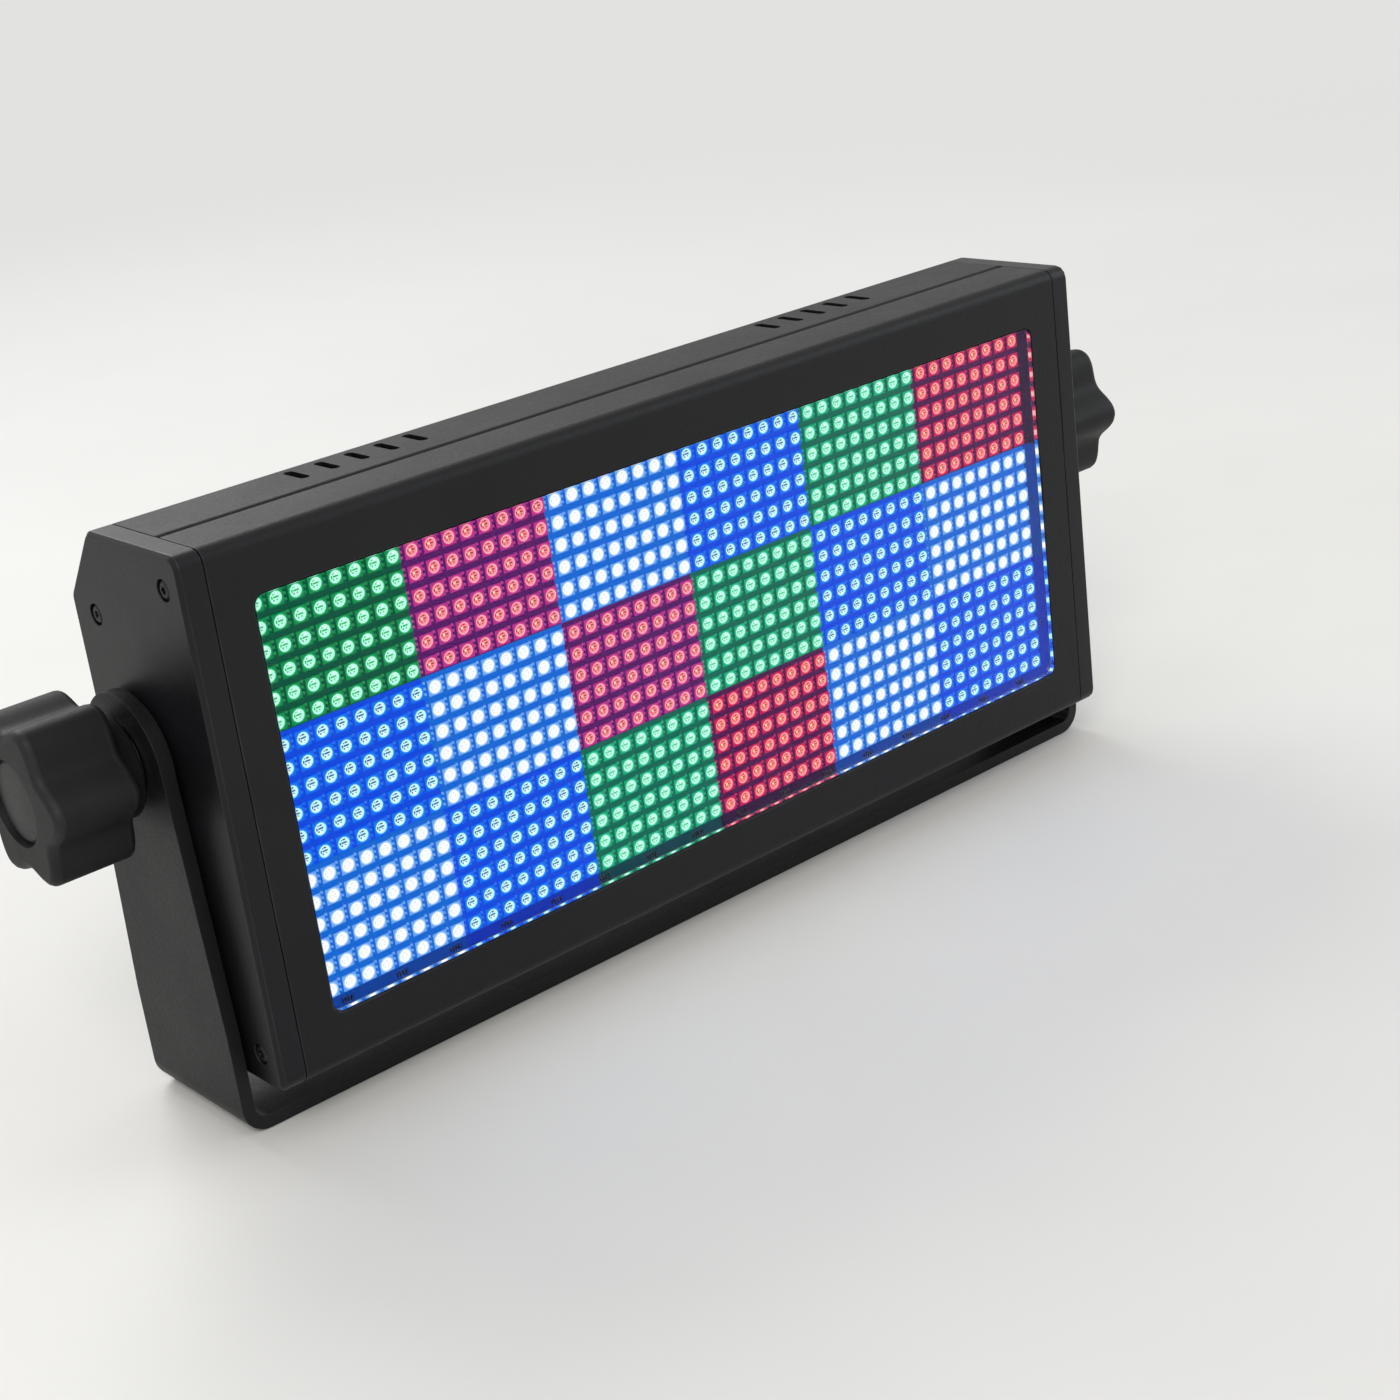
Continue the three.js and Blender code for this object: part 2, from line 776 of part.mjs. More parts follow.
function fanRotor() {
  const from = fanFront + fanPlateDepth + rotorGap;
  const to = from + rotorDepth;
  const hub = turned([[0, from], [fanHubRadius, from], [fanHubRadius, to], [0, to]], "y", smallSteps);
  const shaftFrom = from - shaftReach - rotorGap;
  const shaftTo = to - rotorGap;
  const shaft = turned(
    [[0, shaftFrom], [shaftRadius, shaftFrom], [shaftRadius, shaftTo], [0, shaftTo]], "y", postSteps,
  );
  const root = fanHubRadius - bladeThickness;
  const tip = fanBore - rotorGap;
  const length = tip - root;
  const blades = Array.from({ length: bladeCount }, (_, i) => {
    const blade = new THREE.BoxGeometry(length, bladeChord, bladeThickness, 2, 1, 1);
    const places = blade.attributes.position;
    for (let k = 0; k < places.count; k++) {
      const point = new THREE.Vector3().fromBufferAttribute(places, k);
      const share = point.x / length + 0.5;
      const angle = THREE.MathUtils.lerp(bladeRootAngle, bladeTipAngle, share);
      point.applyAxisAngle(xAxis, THREE.MathUtils.degToRad(angle));
      places.setXYZ(k, point.x, point.y, point.z);
    }
    blade.translate((root + tip) / 2, (from + to) / 2, 0);
    return blade.rotateY((i / bladeCount) * 2 * Math.PI);
  });
  return joined(hub, shaft, ...blades).translate(fanX, 0, 0);
}

function fanGuard() {
  const centre = at(fanX, 0);
  const outer = fanBore + guardRim;
  const ringWidth = (fanBore - guardHubRadius) / guardRings;
  const holes = [];
  for (let ring = 0; ring < guardRings; ring++) {
    const inside = guardHubRadius + ring * ringWidth + (ring > 0 ? guardBar / 2 : 0);
    const outside = guardHubRadius + (ring + 1) * ringWidth - guardBar / 2;
    for (let quarter = 0; quarter < 4; quarter++) {
      const steps = ring + cornerSteps;
      const gapOut = THREE.MathUtils.radToDeg(guardBar / 2 / outside);
      const gapIn = THREE.MathUtils.radToDeg(guardBar / 2 / inside);
      const start = quarter * 90;
      holes.push([
        ...arc(centre, outside, start + gapOut, start + 90 - gapOut, steps),
        ...arc(centre, inside, start + 90 - gapIn, start + gapIn, steps),
      ]);
    }
  }
  const from = panelOut + seat;
  const disc = extruded(circle(outer, centre, guardSteps), "y", from, from + guardSheet);
  return punched(disc, "y", from, from + guardSheet, holes);
}

// Display and menu buttons
const paneBack = panelIn - seat;
const paneFront = paneBack - displayPane;
const moduleBack = paneFront - seat;
const moduleFront = moduleBack - displayDepth;
const displayBoardBack = moduleFront - seat;
const displayBoardFront = displayBoardBack - circuitSheet;
const buttonBase = panelIn - seat - buttonFlange;
const displayBoardZ = (displayZ + buttonZ) / 2;

function displayBoard() {
  const middleX = displayX;
  const outline = rectangle(displayBoardWidth, displayBoardHeight, at(middleX, displayBoardZ));
  const plate = extruded(outline, "y", displayBoardFront, displayBoardBack);
  const posts = boardPosts(middleX, displayBoardWidth, displayBoardHeight).map(({ x, y }) =>
    extruded(
      circle(standoffRadius, at(x, y + displayBoardZ), postSteps), "y",
      displayBoardFront + circuitSheet / 2, panelIn - seat,
    ),
  );
  const rise = Math.min(switchHeight, buttonBase - buttonTravel - seat - displayBoardBack);
  const switches = Array.from({ length: buttonCount }, (_, i) =>
    block(
      switchSize, rise + circuitSheet / 2, switchSize, buttonX(i),
      displayBoardBack + (rise - circuitSheet / 2) / 2, buttonZ,
    ),
  );
  return joined(plate, ...posts, ...switches);
}

function menuButton(i) {
  const top = panelOut + buttonProud;
  const bevel = buttonFlange / 2;
  const profile = [
    [0, buttonBase],
    [buttonRadius + running + buttonFlange, buttonBase],
    [buttonRadius + running + buttonFlange, buttonBase + buttonFlange],
    [buttonRadius, buttonBase + buttonFlange],
    [buttonRadius, top - bevel],
    [buttonRadius - bevel, top],
    [0, top],
  ];
  return turned(profile, "y", smallSteps).translate(buttonX(i), 0, buttonZ);
}

// Sockets
const flangeFront = panelOut + seat;
const flangeBack = flangeFront + flangeThickness;
const signalBoreDepth = signalBoreShare * (barrelDepth + flangeBack - panelIn);
const mainsBoreDepth = mainsBoreShare * (mainsDepth + flangeBack - panelIn);

function socketBody(x, z) {
  const centre = at(x, z);
  const flange = extruded(
    roundedRectangle(flangeWidth, flangeHeight, flangeRadius, centre), "y", flangeFront, flangeBack,
  );
  const barrel = extruded(
    circle(barrelRadius, centre), "y", panelIn - barrelDepth, flangeFront + flangeThickness / 2,
  );
  return joined(flange, barrel);
}

function signalInlet() {
  const bore = extruded(
    circle(signalBore, at(innerSocketX, socketZ)), "y", flangeBack - signalBoreDepth,
    flangeBack + overrun,
  );
  return cut(socketBody(innerSocketX, socketZ), bore);
}

const latchZ = socketZ + (signalBore + flangeHeight / 2) / 2 + running;

function signalOutlet() {
  const centre = at(outerSocketX, socketZ);
  const core = signalBore - grooveWidth;
  const groove = extruded(
    circle(signalBore, centre), "y", flangeBack - grooveDepth, flangeBack + overrun, [circle(core, centre)],
  );
  const pocket = block(
    latchWidth + 2 * running, 2 * flangeThickness + overrun, latchHeight + 2 * running,
    outerSocketX, flangeBack, latchZ,
  );
  return cut(socketBody(outerSocketX, socketZ), groove, pocket);
}

function latchButton() {
  const from = flangeFront + latchTravel + running;
  const to = flangeBack + latchProud;
  const outline = roundedRectangle(latchWidth, latchHeight, latchHeight / 4, at(outerSocketX, latchZ), 1);
  return extruded(outline, "y", from, to);
}

// A mains socket's outline has its two upper corners cut off.
function mainsOutline(x, inset) {
  const width = mainsWidth - 2 * inset;
  const height = mainsHeight - 2 * inset;
  const corner = mainsCorner;
  return [
    at(x - width / 2, -socketZ - height / 2),
    at(x + width / 2, -socketZ - height / 2),
    at(x + width / 2, -socketZ + height / 2 - corner),
    at(x + width / 2 - corner, -socketZ + height / 2),
    at(x - width / 2 + corner, -socketZ + height / 2),
    at(x - width / 2, -socketZ + height / 2 - corner),
  ];
}

function mainsBody(x) {
  const flange = extruded(
    roundedRectangle(mainsWidth + 2 * mainsRim, mainsHeight + 2 * mainsRim, flangeRadius, at(x, -socketZ)),
    "y", flangeFront, flangeBack,
  );
  const body = extruded(
    mainsOutline(x, 0), "y", panelIn - mainsDepth, flangeFront + flangeThickness / 2,
  );
  return joined(flange, body);
}

function mainsInlet() {
  const bore = extruded(
    mainsOutline(outerSocketX, mainsWall), "y", flangeBack - mainsBoreDepth, flangeBack + overrun,
  );
  return cut(mainsBody(outerSocketX), bore);
}

function mainsOutlet() {
  const slots = [-1, 0, 1].map((place) =>
    block(
      slotWidth, 2 * slotDepth, slotHeight, innerSocketX + place * slotPitch, flangeBack,
      -socketZ + (place === 0 ? slotDrop : -slotDrop),
    ),
  );
  return cut(mainsBody(innerSocketX), ...slots);
}

// Fuse holder
function fuseHolder() {
  const rim = flangeFront + fuseFlange;
  const profile = [
    [fuseRadius - fuseWall, panelIn - fuseDepth],
    [fuseRadius, panelIn - fuseDepth],
    [fuseRadius, flangeFront],
    [fuseFlangeRadius, flangeFront],
    [fuseFlangeRadius, rim],
    [fuseRadius - fuseWall, rim],
    [fuseRadius - fuseWall, panelIn - fuseDepth],
  ];
  return turned(profile, "y", smallSteps).translate(fuseX, 0, fuseZ);
}

function fuseCap() {
  const rim = flangeFront + fuseFlange + seat;
  const top = rim + fuseCapHeight;
  const core = fuseRadius - fuseWall - running;
  const profile = [
    [0, panelIn - fuseDepth],
    [core, panelIn - fuseDepth],
    [core, rim],
    [fuseRadius, rim],
    [fuseRadius, top - fuseSlotWidth / 2],
    [fuseRadius - fuseSlotWidth / 2, top],
    [0, top],
  ];
  const slot = block(2 * fuseFlangeRadius, 2 * fuseSlotDepth, fuseSlotWidth, 0, top, 0);
  return cut(turned(profile, "y", smallSteps), slot).translate(fuseX, 0, fuseZ);
}

// Safety eye
function safetyEye() {
  const base = panelOut + seat;
  const line = [
    [base, eyeZ + eyeHeight],
    [base, eyeZ, eyeBend],
    [base + eyeReach, eyeZ],
  ];
  const strip = extruded(
    bentSheet(line, eyeSheet, 1), "x", eyeX - eyeWidth / 2, eyeX + eyeWidth / 2,
  );
  const rounded = extruded(
    roundedRectangle(eyeWidth, 2 * eyeReach, eyeWidth / 2, at(eyeX, base), 2 * cornerSteps), "z",
    eyeZ - overrun, eyeZ + eyeHeight + overrun,
  );
  const hole = extruded(
    circle(eyeHoleRadius, at(eyeX, base + eyeReach - eyeWidth / 2), smallSteps), "z",
    eyeZ - overrun, eyeZ + eyeSheet + overrun,
  );
  return cut(shared(strip, rounded), hole);
}

// Boards and the parts on them, in the bay behind the chassis plate
function circuitBoard(x, width, height) {
  return extruded(rectangle(width, height, at(x, 0)), "y", circuitFront, circuitBack);
}

const partBase = circuitBack + seat;
const partTop = partBase + partRiseShare * (displayBoardFront - seat - partBase);
const bulkRadius = (partTop - partBase) / 2;

function onSupply([across, up]) {
  return at(supplyX + supplyWidth * across, supplyHeight * up);
}

function transformer() {
  const { x, y: z } = onSupply(transformerShares);
  const depth = partTop - partBase;
  const centre = (partBase + partTop) / 2;
  const core = block(coreWidth, depth, coreHeight - 4 * windingOver, x, centre, z);
  const winding = extruded(
    roundedRectangle(
      windingShare * coreWidth, windingRiseShare * depth, windingCornerShare * depth, at(x, centre),
    ),
    "z", z - coreHeight / 2, z + coreHeight / 2,
  );
  return joined(core, winding);
}

function bulkCapacitor(i) {
  const place = onSupply(capacitorShares);
  const z = place.y + (2 * i - 1) * (bulkRadius + seat);
  const rim = (1 - rimShare) * bulkRadius;
  const profile = [
    [0, 0],
    [rimShare * bulkRadius, 0],
    [bulkRadius, rim],
    [bulkRadius, bulkLength],
    [0, bulkLength],
  ];
  return turned(profile, "x", smallSteps).translate(place.x - bulkLength / 2, partBase + bulkRadius, z);
}

function mainsChoke() {
  const place = onSupply(chokeShares);
  const ring = circle(chokeRadius, place, smallSteps);
  const hole = circle(chokeRadius - 2 * chokeWire, place, smallSteps);
  return extruded(ring, "y", partBase, partBase + 2 * chokeWire, [hole], chokeWire / 2);
}

function switchCooler() {
  const { x, y: z } = onSupply(coolerShares);
  const foot = block(
    coolerWidth, coolerThickness, coolerFoot, x, partBase + coolerThickness / 2,
    z - coolerFoot / 2,
  );
  const wall = block(
    coolerWidth, partTop - partBase, coolerThickness, x, (partBase + partTop) / 2, z,
  );
  return joined(foot, wall);
}

function terminalBlock() {
  const { x, y: z } = onSupply(terminalShares);
  const rise = partTop - partBase;
  const body = block(terminalWidth, rise, terminalDepth, x, partBase + rise / 2, z);
  const mouths = [-1, 0, 1].map((place) =>
    block(
      mouthWidthShare * terminalWidth, rise / 3, terminalDepth / 2,
      x + place * mouthPitchShare * terminalWidth, partBase + rise / 2, z - terminalDepth / 2,
    ),
  );
  return cut(body, ...mouths);
}

function driverBoard() {
  const plate = circuitBoard(driverX, driverWidth, driverHeight);
  const chips = [];
  for (let row = 0; row < switchRows; row++) {
    for (let i = 0; i < switchesInRow; i++) {
      const x = driverX + (i - (switchesInRow - 1) / 2) * driverSpreadShare * driverWidth;
      const z = (row - 0.5) * driverRowShare * driverHeight;
      chips.push(block(chipWidth, 2 * chipRise, chipHeight, x, circuitBack, z));
    }
  }
  const processor = block(processorSize, 2 * processorRise, processorSize, driverX, circuitBack, 0);
  return joined(plate, ...chips, processor);
}

// Tilt bracket
function bracket() {
  const top = pivotHeight + armRadius;
  const line = [
    [-armOutside, top],
    [-armOutside, 0, bracketBend],
    [armOutside, 0, bracketBend],
    [armOutside, top],
  ];
  const strip = extruded(
    bentSheet(line, bracketSheet, 1), "y", -bracketWidth / 2, bracketWidth / 2,
  );
  const armOutline = [
    at(-bracketWidth / 2, -overrun),
    at(bracketWidth / 2, -overrun),
    at(bracketWidth / 2, armTaperShare * pivotHeight),
    ...arc(at(0, pivotHeight), armRadius, 0, 180, roundSteps / 2),
    at(-bracketWidth / 2, armTaperShare * pivotHeight),
  ];
  const armForm = extruded(armOutline, "x", -armOutside - overrun, armOutside + overrun);
  const pivotHole = extruded(
    circle(studRadius + boltClearance, at(0, pivotHeight)), "x", -armOutside - overrun,
    armOutside + overrun,
  );
  const clampHole = extruded(circle(clampHoleRadius), "z", -overrun, bracketSheet + overrun);
  const slots = [-1, 1].map((side) =>
    extruded(
      roundedRectangle(
        clampSlotLength, clampSlotWidth, clampSlotWidth / 2, at(side * clampSlotShare * armInside, 0),
      ),
      "z", -overrun, bracketSheet + overrun,
    ),
  );
  return cut(shared(strip, armForm), pivotHole, clampHole, ...slots);
}

// Clamping knobs: the stack runs outwards from the head, on the pivot axis
function washer(from, thickness, radius) {
  const hole = circle(studRadius + boltClearance, at(0, 0), smallSteps);
  return extruded(circle(radius), "x", from, from + thickness, [hole]);
}

function knob() {
  const count = knobLobes * lobeSteps;
  const outline = Array.from({ length: count }, (_, i) => {
    const angle = (i / count) * 2 * Math.PI;
    const radius = knobRadius - (knobHollow / 2) * (1 - Math.cos(knobLobes * angle));
    return at(radius * Math.cos(angle), radius * Math.sin(angle));
  });
  const grip = extruded(outline, "x", knobStart + knobNeck, knobEnd, [], knobBevel);
  const neck = extruded(
    circle(knobNeckRadius), "x", knobStart, knobStart + knobNeck + knobBevel,
  );
  const recess = extruded(
    circle(knobRecessRadius), "x", knobEnd - knobRecess, knobEnd + overrun,
  );
  const bore = extruded(
    circle(studRadius + seat, at(0, 0), smallSteps), "x", knobStart - overrun,
    knobStart + studInKnob + seat,
  );
  return cut(joined(grip, neck), recess, bore);
}

function knobStud() {
  const from = housingWidth / 2 - capWall - studInHead;
  return extruded(
    circle(studRadius, at(0, 0), smallSteps), "x", from, knobStart + studInKnob, [], studRadius / 8,
  );
}

function mirrored(geometry) {
  return toGeometry(toSolid(geometry.clone().scale(-1, 1, 1)));
}

// Assembly
const strobe = new THREE.Group();
const head = new THREE.Group();
head.position.set(0, -middle, pivotHeight - pivotRise);
const stand = new THREE.Group();
stand.position.set(0, pivotBack - middle, 0);
const axle = new THREE.Group();
axle.position.set(0, pivotBack, pivotRise);
head.add(axle);
strobe.add(stand, head);

piece(stand, "tilt_bracket", bracket(), powderCoat);

piece(head, "front_cover", frontCover(), powderCoat);
piece(head, "top_shell", shell(1), powderCoat);
piece(head, "bottom_shell", shell(-1), powderCoat);
piece(head, "rear_panel", rearPanel(), powderCoat);
piece(head, "window_pane", windowPane(), clearPane);
piece(head, "window_gasket", windowGasket(), softBlack);
piece(head, "left_lamp_board", lampBoardHalf(-1), lampBoard);
piece(head, "right_lamp_board", lampBoardHalf(1), lampBoard);
piece(head, "heatsink", heatsink(), bareAluminium);
piece(head, "chassis_plate", chassisPlate(), zincSteel);

const sided = { left: mirrored, right: (geometry) => geometry };
for (const [side, place] of Object.entries(sided)) {
  piece(head, side + "_end_cap", place(endCap()), mouldedBlack);
  piece(head, side + "_pivot_insert", place(pivotInsert()), brass);
  piece(
    axle, side + "_friction_washer",
    place(washer(housingWidth / 2 + seat, frictionWasher, frictionRadius)), softBlack,
  );
  piece(
    axle, side + "_steel_washer",
    place(washer(armOutside + seat, steelWasher, steelWasherRadius)), zincSteel,
  );
  piece(axle, side + "_knob", place(knob()), mouldedBlack);
  piece(axle, side + "_knob_stud", place(knobStud()), zincSteel);
}

piece(head, "fan_frame", fanFrame(), mouldedBlack);
piece(head, "fan_rotor", fanRotor(), mouldedBlack);
piece(head, "fan_guard", fanGuard(), powderCoat);

const displayCentre = at(displayX, displayZ);
piece(
  head, "display_pane",
  extruded(rectangle(displayWidth, displayHeight, displayCentre), "y", paneFront, paneBack), darkPane,
);
piece(
  head, "display_module",
  extruded(rectangle(displayWidth, displayHeight, displayCentre), "y", moduleFront, moduleBack),
  displayGlass,
);
piece(head, "display_board", displayBoard(), greenBoard);
for (let i = 0; i < buttonCount; i++) {
  piece(head, "menu_button_" + (i + 1), menuButton(i), mouldedBlack);
}

piece(head, "signal_inlet", signalInlet(), zincSteel);
piece(head, "signal_outlet", signalOutlet(), mouldedBlack);
piece(head, "signal_outlet_latch", latchButton(), zincSteel);
piece(head, "mains_inlet", mainsInlet(), mouldedBlack);
piece(head, "mains_outlet", mainsOutlet(), mouldedBlack);
piece(head, "fuse_holder", fuseHolder(), mouldedBlack);
piece(head, "fuse_cap", fuseCap(), mouldedBlack);
piece(head, "safety_eye", safetyEye(), zincSteel);

piece(head, "supply_board", circuitBoard(supplyX, supplyWidth, supplyHeight), greenBoard);
piece(head, "supply_transformer", transformer(), ferrite);
piece(head, "supply_capacitor_1", bulkCapacitor(0), mouldedBlack);
piece(head, "supply_capacitor_2", bulkCapacitor(1), mouldedBlack);
piece(head, "supply_choke", mainsChoke(), ferrite);
piece(head, "supply_cooler", switchCooler(), bareAluminium);
piece(head, "supply_terminals", terminalBlock(), greenBoard);
piece(head, "driver_board", driverBoard(), greenBoard);

export default strobe;
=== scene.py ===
# Strobe light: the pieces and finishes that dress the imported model, its studio and its camera.
# Lengths are in millimetres and are turned to metres when a piece is put together.
# X runs to the right seen from the front, Y away from the viewer, Z up.

import json
from math import copysign, cos, degrees, pi, radians, sin, sqrt, tan
import bmesh
import bpy
from mathutils import Matrix, Vector

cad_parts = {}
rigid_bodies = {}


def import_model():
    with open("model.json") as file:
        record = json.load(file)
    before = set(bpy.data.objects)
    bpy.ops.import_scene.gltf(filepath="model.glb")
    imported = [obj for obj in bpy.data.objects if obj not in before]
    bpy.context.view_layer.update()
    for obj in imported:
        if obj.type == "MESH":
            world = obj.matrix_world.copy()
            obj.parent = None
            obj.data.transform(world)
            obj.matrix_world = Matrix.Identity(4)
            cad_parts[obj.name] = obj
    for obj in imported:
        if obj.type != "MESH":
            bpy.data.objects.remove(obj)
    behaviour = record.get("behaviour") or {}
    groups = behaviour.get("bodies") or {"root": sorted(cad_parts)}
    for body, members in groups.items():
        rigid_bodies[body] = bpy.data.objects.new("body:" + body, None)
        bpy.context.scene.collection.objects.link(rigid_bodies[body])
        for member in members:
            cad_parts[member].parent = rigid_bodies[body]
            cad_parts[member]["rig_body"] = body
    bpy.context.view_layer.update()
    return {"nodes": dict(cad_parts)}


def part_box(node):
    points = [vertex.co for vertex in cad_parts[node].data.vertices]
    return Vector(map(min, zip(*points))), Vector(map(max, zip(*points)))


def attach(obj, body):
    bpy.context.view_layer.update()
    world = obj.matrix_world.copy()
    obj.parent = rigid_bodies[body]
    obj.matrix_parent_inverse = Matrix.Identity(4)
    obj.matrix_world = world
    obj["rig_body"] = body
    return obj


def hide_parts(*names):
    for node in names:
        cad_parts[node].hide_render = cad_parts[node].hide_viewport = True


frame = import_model()
scene = bpy.context.scene

MM = 0.001

# Sheet thickness, a bend's outer radius, the gap between seated pieces, and the overrun of a cut
SHEET, BEND, SEAT, PAST = 1.5, 4.0, 0.3, 2.0

# Faces that lie this flat to each other are one
FLAT = radians(0.5)

# The mark that easing an edge leaves on its faces
RUBBED = "rubbed"

# Lamps on the light field
COLUMNS, ROWS = 48, 18
PITCH_X, PITCH_Z = 6.2, 6.65
PACKAGE, PACKAGE_HEIGHT = 5.0, 1.6
BLOCK_COLUMNS, BLOCK_ROWS = 8, 6
BLOCK_WIDTH, BLOCK_HEIGHT = BLOCK_COLUMNS * PITCH_X, BLOCK_ROWS * PITCH_Z
PACKAGE_TOP, HALO_RADIUS, CUP_RADIUS, RESIN_RADIUS = 4.7, 2.25, 1.85, 1.55


def box(node):
    """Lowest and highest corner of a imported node, in millimetres."""
    low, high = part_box(node)
    return low / MM, high / MM


def middle(node):
    """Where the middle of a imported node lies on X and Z."""
    low, high = box(node)
    place = (low + high) / 2
    return place.x, place.z


# Materials


def linear(code):
    """A hex sRGB colour as linear numbers."""
    shares = [int(code[i:i + 2], 16) / 255 for i in (1, 3, 5)]
    return [s / 12.92 if s <= 0.04045 else ((s + 0.055) / 1.055) ** 2.4 for s in shares] + [1.0]


def feed(tree, node, inputs):
    """Sets or links a node's inputs."""
    for name, value in inputs.items():
        if isinstance(value, bpy.types.NodeSocket):
            tree.links.new(value, node.inputs[name])
        else:
            node.inputs[name].default_value = value


def add(tree, kind, inputs=None, **settings):
    """Adds a node with its settings and inputs."""
    node = tree.nodes.new(kind)
    for name, value in settings.items():
        setattr(node, name, value)
    feed(tree, node, inputs or {})
    return node


def noise(tree, place, size, detail, roughness=0.5):
    """Noise whose clouds are so many millimetres wide."""
    return add(
        tree, "ShaderNodeTexNoise",
        {"Vector": place, "Scale": 1 / (size * MM), "Detail": detail, "Roughness": roughness},
    ).outputs["Fac"]


def ranged(tree, value, low, high, first=0.0, last=1.0, **settings):
    """Runs from first to last while a value runs from low to high."""
    return add(
        tree, "ShaderNodeMapRange",
        {"Value": value, "From Min": low, "From Max": high, "To Min": first, "To Max": last},
        **settings,
    ).outputs["Result"]


def reckoned(tree, operation, a, b):
    return add(tree, "ShaderNodeMath", {0: a, 1: b}, operation=operation).outputs["Value"]


def mixed(tree, share, first, second):
    return add(tree, "ShaderNodeMix", {0: share, 6: first, 7: second}, data_type="RGBA").outputs[2]


def layered(tree, share, first, second):
    """Shows one shader, and another over it to this share."""
    both = add(tree, "ShaderNodeMixShader", {0: share, 1: first, 2: second})
    feed(tree, tree.nodes["Material Output"], {"Surface": both.outputs[0]})


def surface(name):
    """A new material, its node tree and its shader."""
    material = bpy.data.materials.new(name)
    material.use_nodes = True
    tree = material.node_tree
    return material, tree, tree.nodes["Principled BSDF"]


def finish(
    name, dark, light, rough, grain, depth, broad=30.0, stretch=(1, 1, 1), worn=None, specular=0.5,
    **constants,
):
    """A finish whose colour drifts between two shades over broad mm, with a grain and a relief of
    so many mm and a roughness between two values. Rubbed faces take worn's colour in patches."""
    material, tree, shader = surface(name)
    place = add(tree, "ShaderNodeTexCoord").outputs["Object"]
    held = add(tree, "ShaderNodeMapping", {"Vector": place, "Scale": stretch}).outputs["Vector"]
    fine, drift = noise(tree, held, grain, 3.0, 0.6), noise(tree, held, broad, 4.0, 0.65)
    share = ranged(tree, drift, 0.3, 0.7)
    colour = mixed(tree, share, linear(dark), linear(light))
    if worn:
        edge = add(tree, "ShaderNodeAttribute", attribute_name=RUBBED).outputs["Fac"]
        colour = mixed(tree, reckoned(tree, "MULTIPLY", edge, share), colour, linear(worn))
    relief = add(tree, "ShaderNodeBump", {"Height": fine, "Distance": depth * MM}).outputs["Normal"]
    gloss = ranged(tree, reckoned(tree, "ADD", fine, drift), 0.6, 1.4, *rough)
    feed(tree, shader, {
        "Base Color": colour, "Roughness": gloss, "Normal": relief, "Specular IOR Level": specular,
        **constants,
    })
    return material


# Steel with a baked fine-texture powder coat: soft black sheen over a pebbled skin. The real grain
# is about 0.4 mm and is drawn at 1.1 mm, the finest that shows.
powder_coat = finish(
    "powder_coated_steel", "#0a0b0d", "#101114", (0.4, 0.56), 1.1, 0.09, 35.0, worn="#2b2d31",
    specular=0.25,
)

# Glass-filled nylon, moulded in a spark-eroded tool: even matt black with a faint grey bloom
nylon = finish(
    "moulded_glass_filled_nylon", "#0b0c0d", "#131415", (0.46, 0.64), 0.8, 0.05, 18.0,
    worn="#242528", specular=0.25,
)

# ABS, moulded with a fine satin texture: slightly bluer and glossier than the nylon
satin_abs = finish(
    "moulded_satin_abs", "#0b0c0e", "#111216", (0.34, 0.48), 1.0, 0.04, 25.0, worn="#26282c",
    specular=0.25,
)

# EPDM rubber, cut from sheet: dull, almost without highlights, and a little dusty
rubber = finish("cut_epdm_rubber", "#0c0c0d", "#181817", (0.8, 0.95), 0.9, 0.05, 12.0)

# Steel with bright zinc plating: grey with cloudy patches and soft highlights
zinc = finish(
    "bright_zinc_plated_steel", "#8f9498", "#b9bdc0", (0.26, 0.42), 1.2, 0.02, 7.0, Metallic=1.0,
)

# Extruded aluminium, left bare: drawn out streaks along the die's direction
aluminium = finish(
    "extruded_bare_aluminium", "#a4a8ab", "#c6c9cb", (0.28, 0.45), 0.9, 0.02, 6.0, (1, 1, 0.08),
    Metallic=1.0,
)

# Free-cutting brass, turned: warm yellow with fine rings
brass = finish(
    "turned_brass", "#a98b45", "#c9aa5e", (0.24, 0.38), 0.5, 0.02, 5.0, (3, 1, 1), Metallic=1.0,
)

# Black steel screws, phosphated and oiled: darker and duller than zinc
oiled_screw = finish(
    "phosphated_screw_steel", "#26282b", "#3b3d40", (0.36, 0.52), 0.6, 0.02, 3.0, Metallic=0.9,
)

# Nickel-plated contact pins: clean and bright
nickel = finish(
    "nickel_plated_contact", "#b4afa5", "#d2cdc2", (0.14, 0.24), 0.5, 0.01, 3.0, Metallic=1.0,
)

# Glass-fibre board with a black solder mask: faint weave under a wet-looking skin
black_mask = finish(
    "black_solder_mask", "#07080a", "#0b0d0f", (0.28, 0.4), 0.6, 0.006, 9.0, specular=0.12,
)

# Glass-fibre board with a green solder mask
green_mask = finish(
    "green_solder_mask", "#154a2c", "#1f6239", (0.28, 0.42), 0.6, 0.02, 9.0, IOR=1.55,
)

# Ferrite and enamelled wire, dipped in varnish: brown-black with a syrupy gloss
ferrite = finish("varnished_ferrite", "#232120", "#3d3630", (0.3, 0.5), 0.9, 0.06, 5.0)

# PVC sleeve shrunk on an aluminium can: smooth dark blue-black
pvc_sleeve = finish(
    "shrunk_pvc_sleeve", "#14171f", "#1e2430", (0.25, 0.36), 1.5, 0.02, 8.0, IOR=1.53,
)

# Display module, epoxy-filled: matt grey face behind the pane
filled_display = finish("epoxy_filled_display", "#1c2023", "#272c30", (0.4, 0.5), 1.0, 0.02, 10.0)

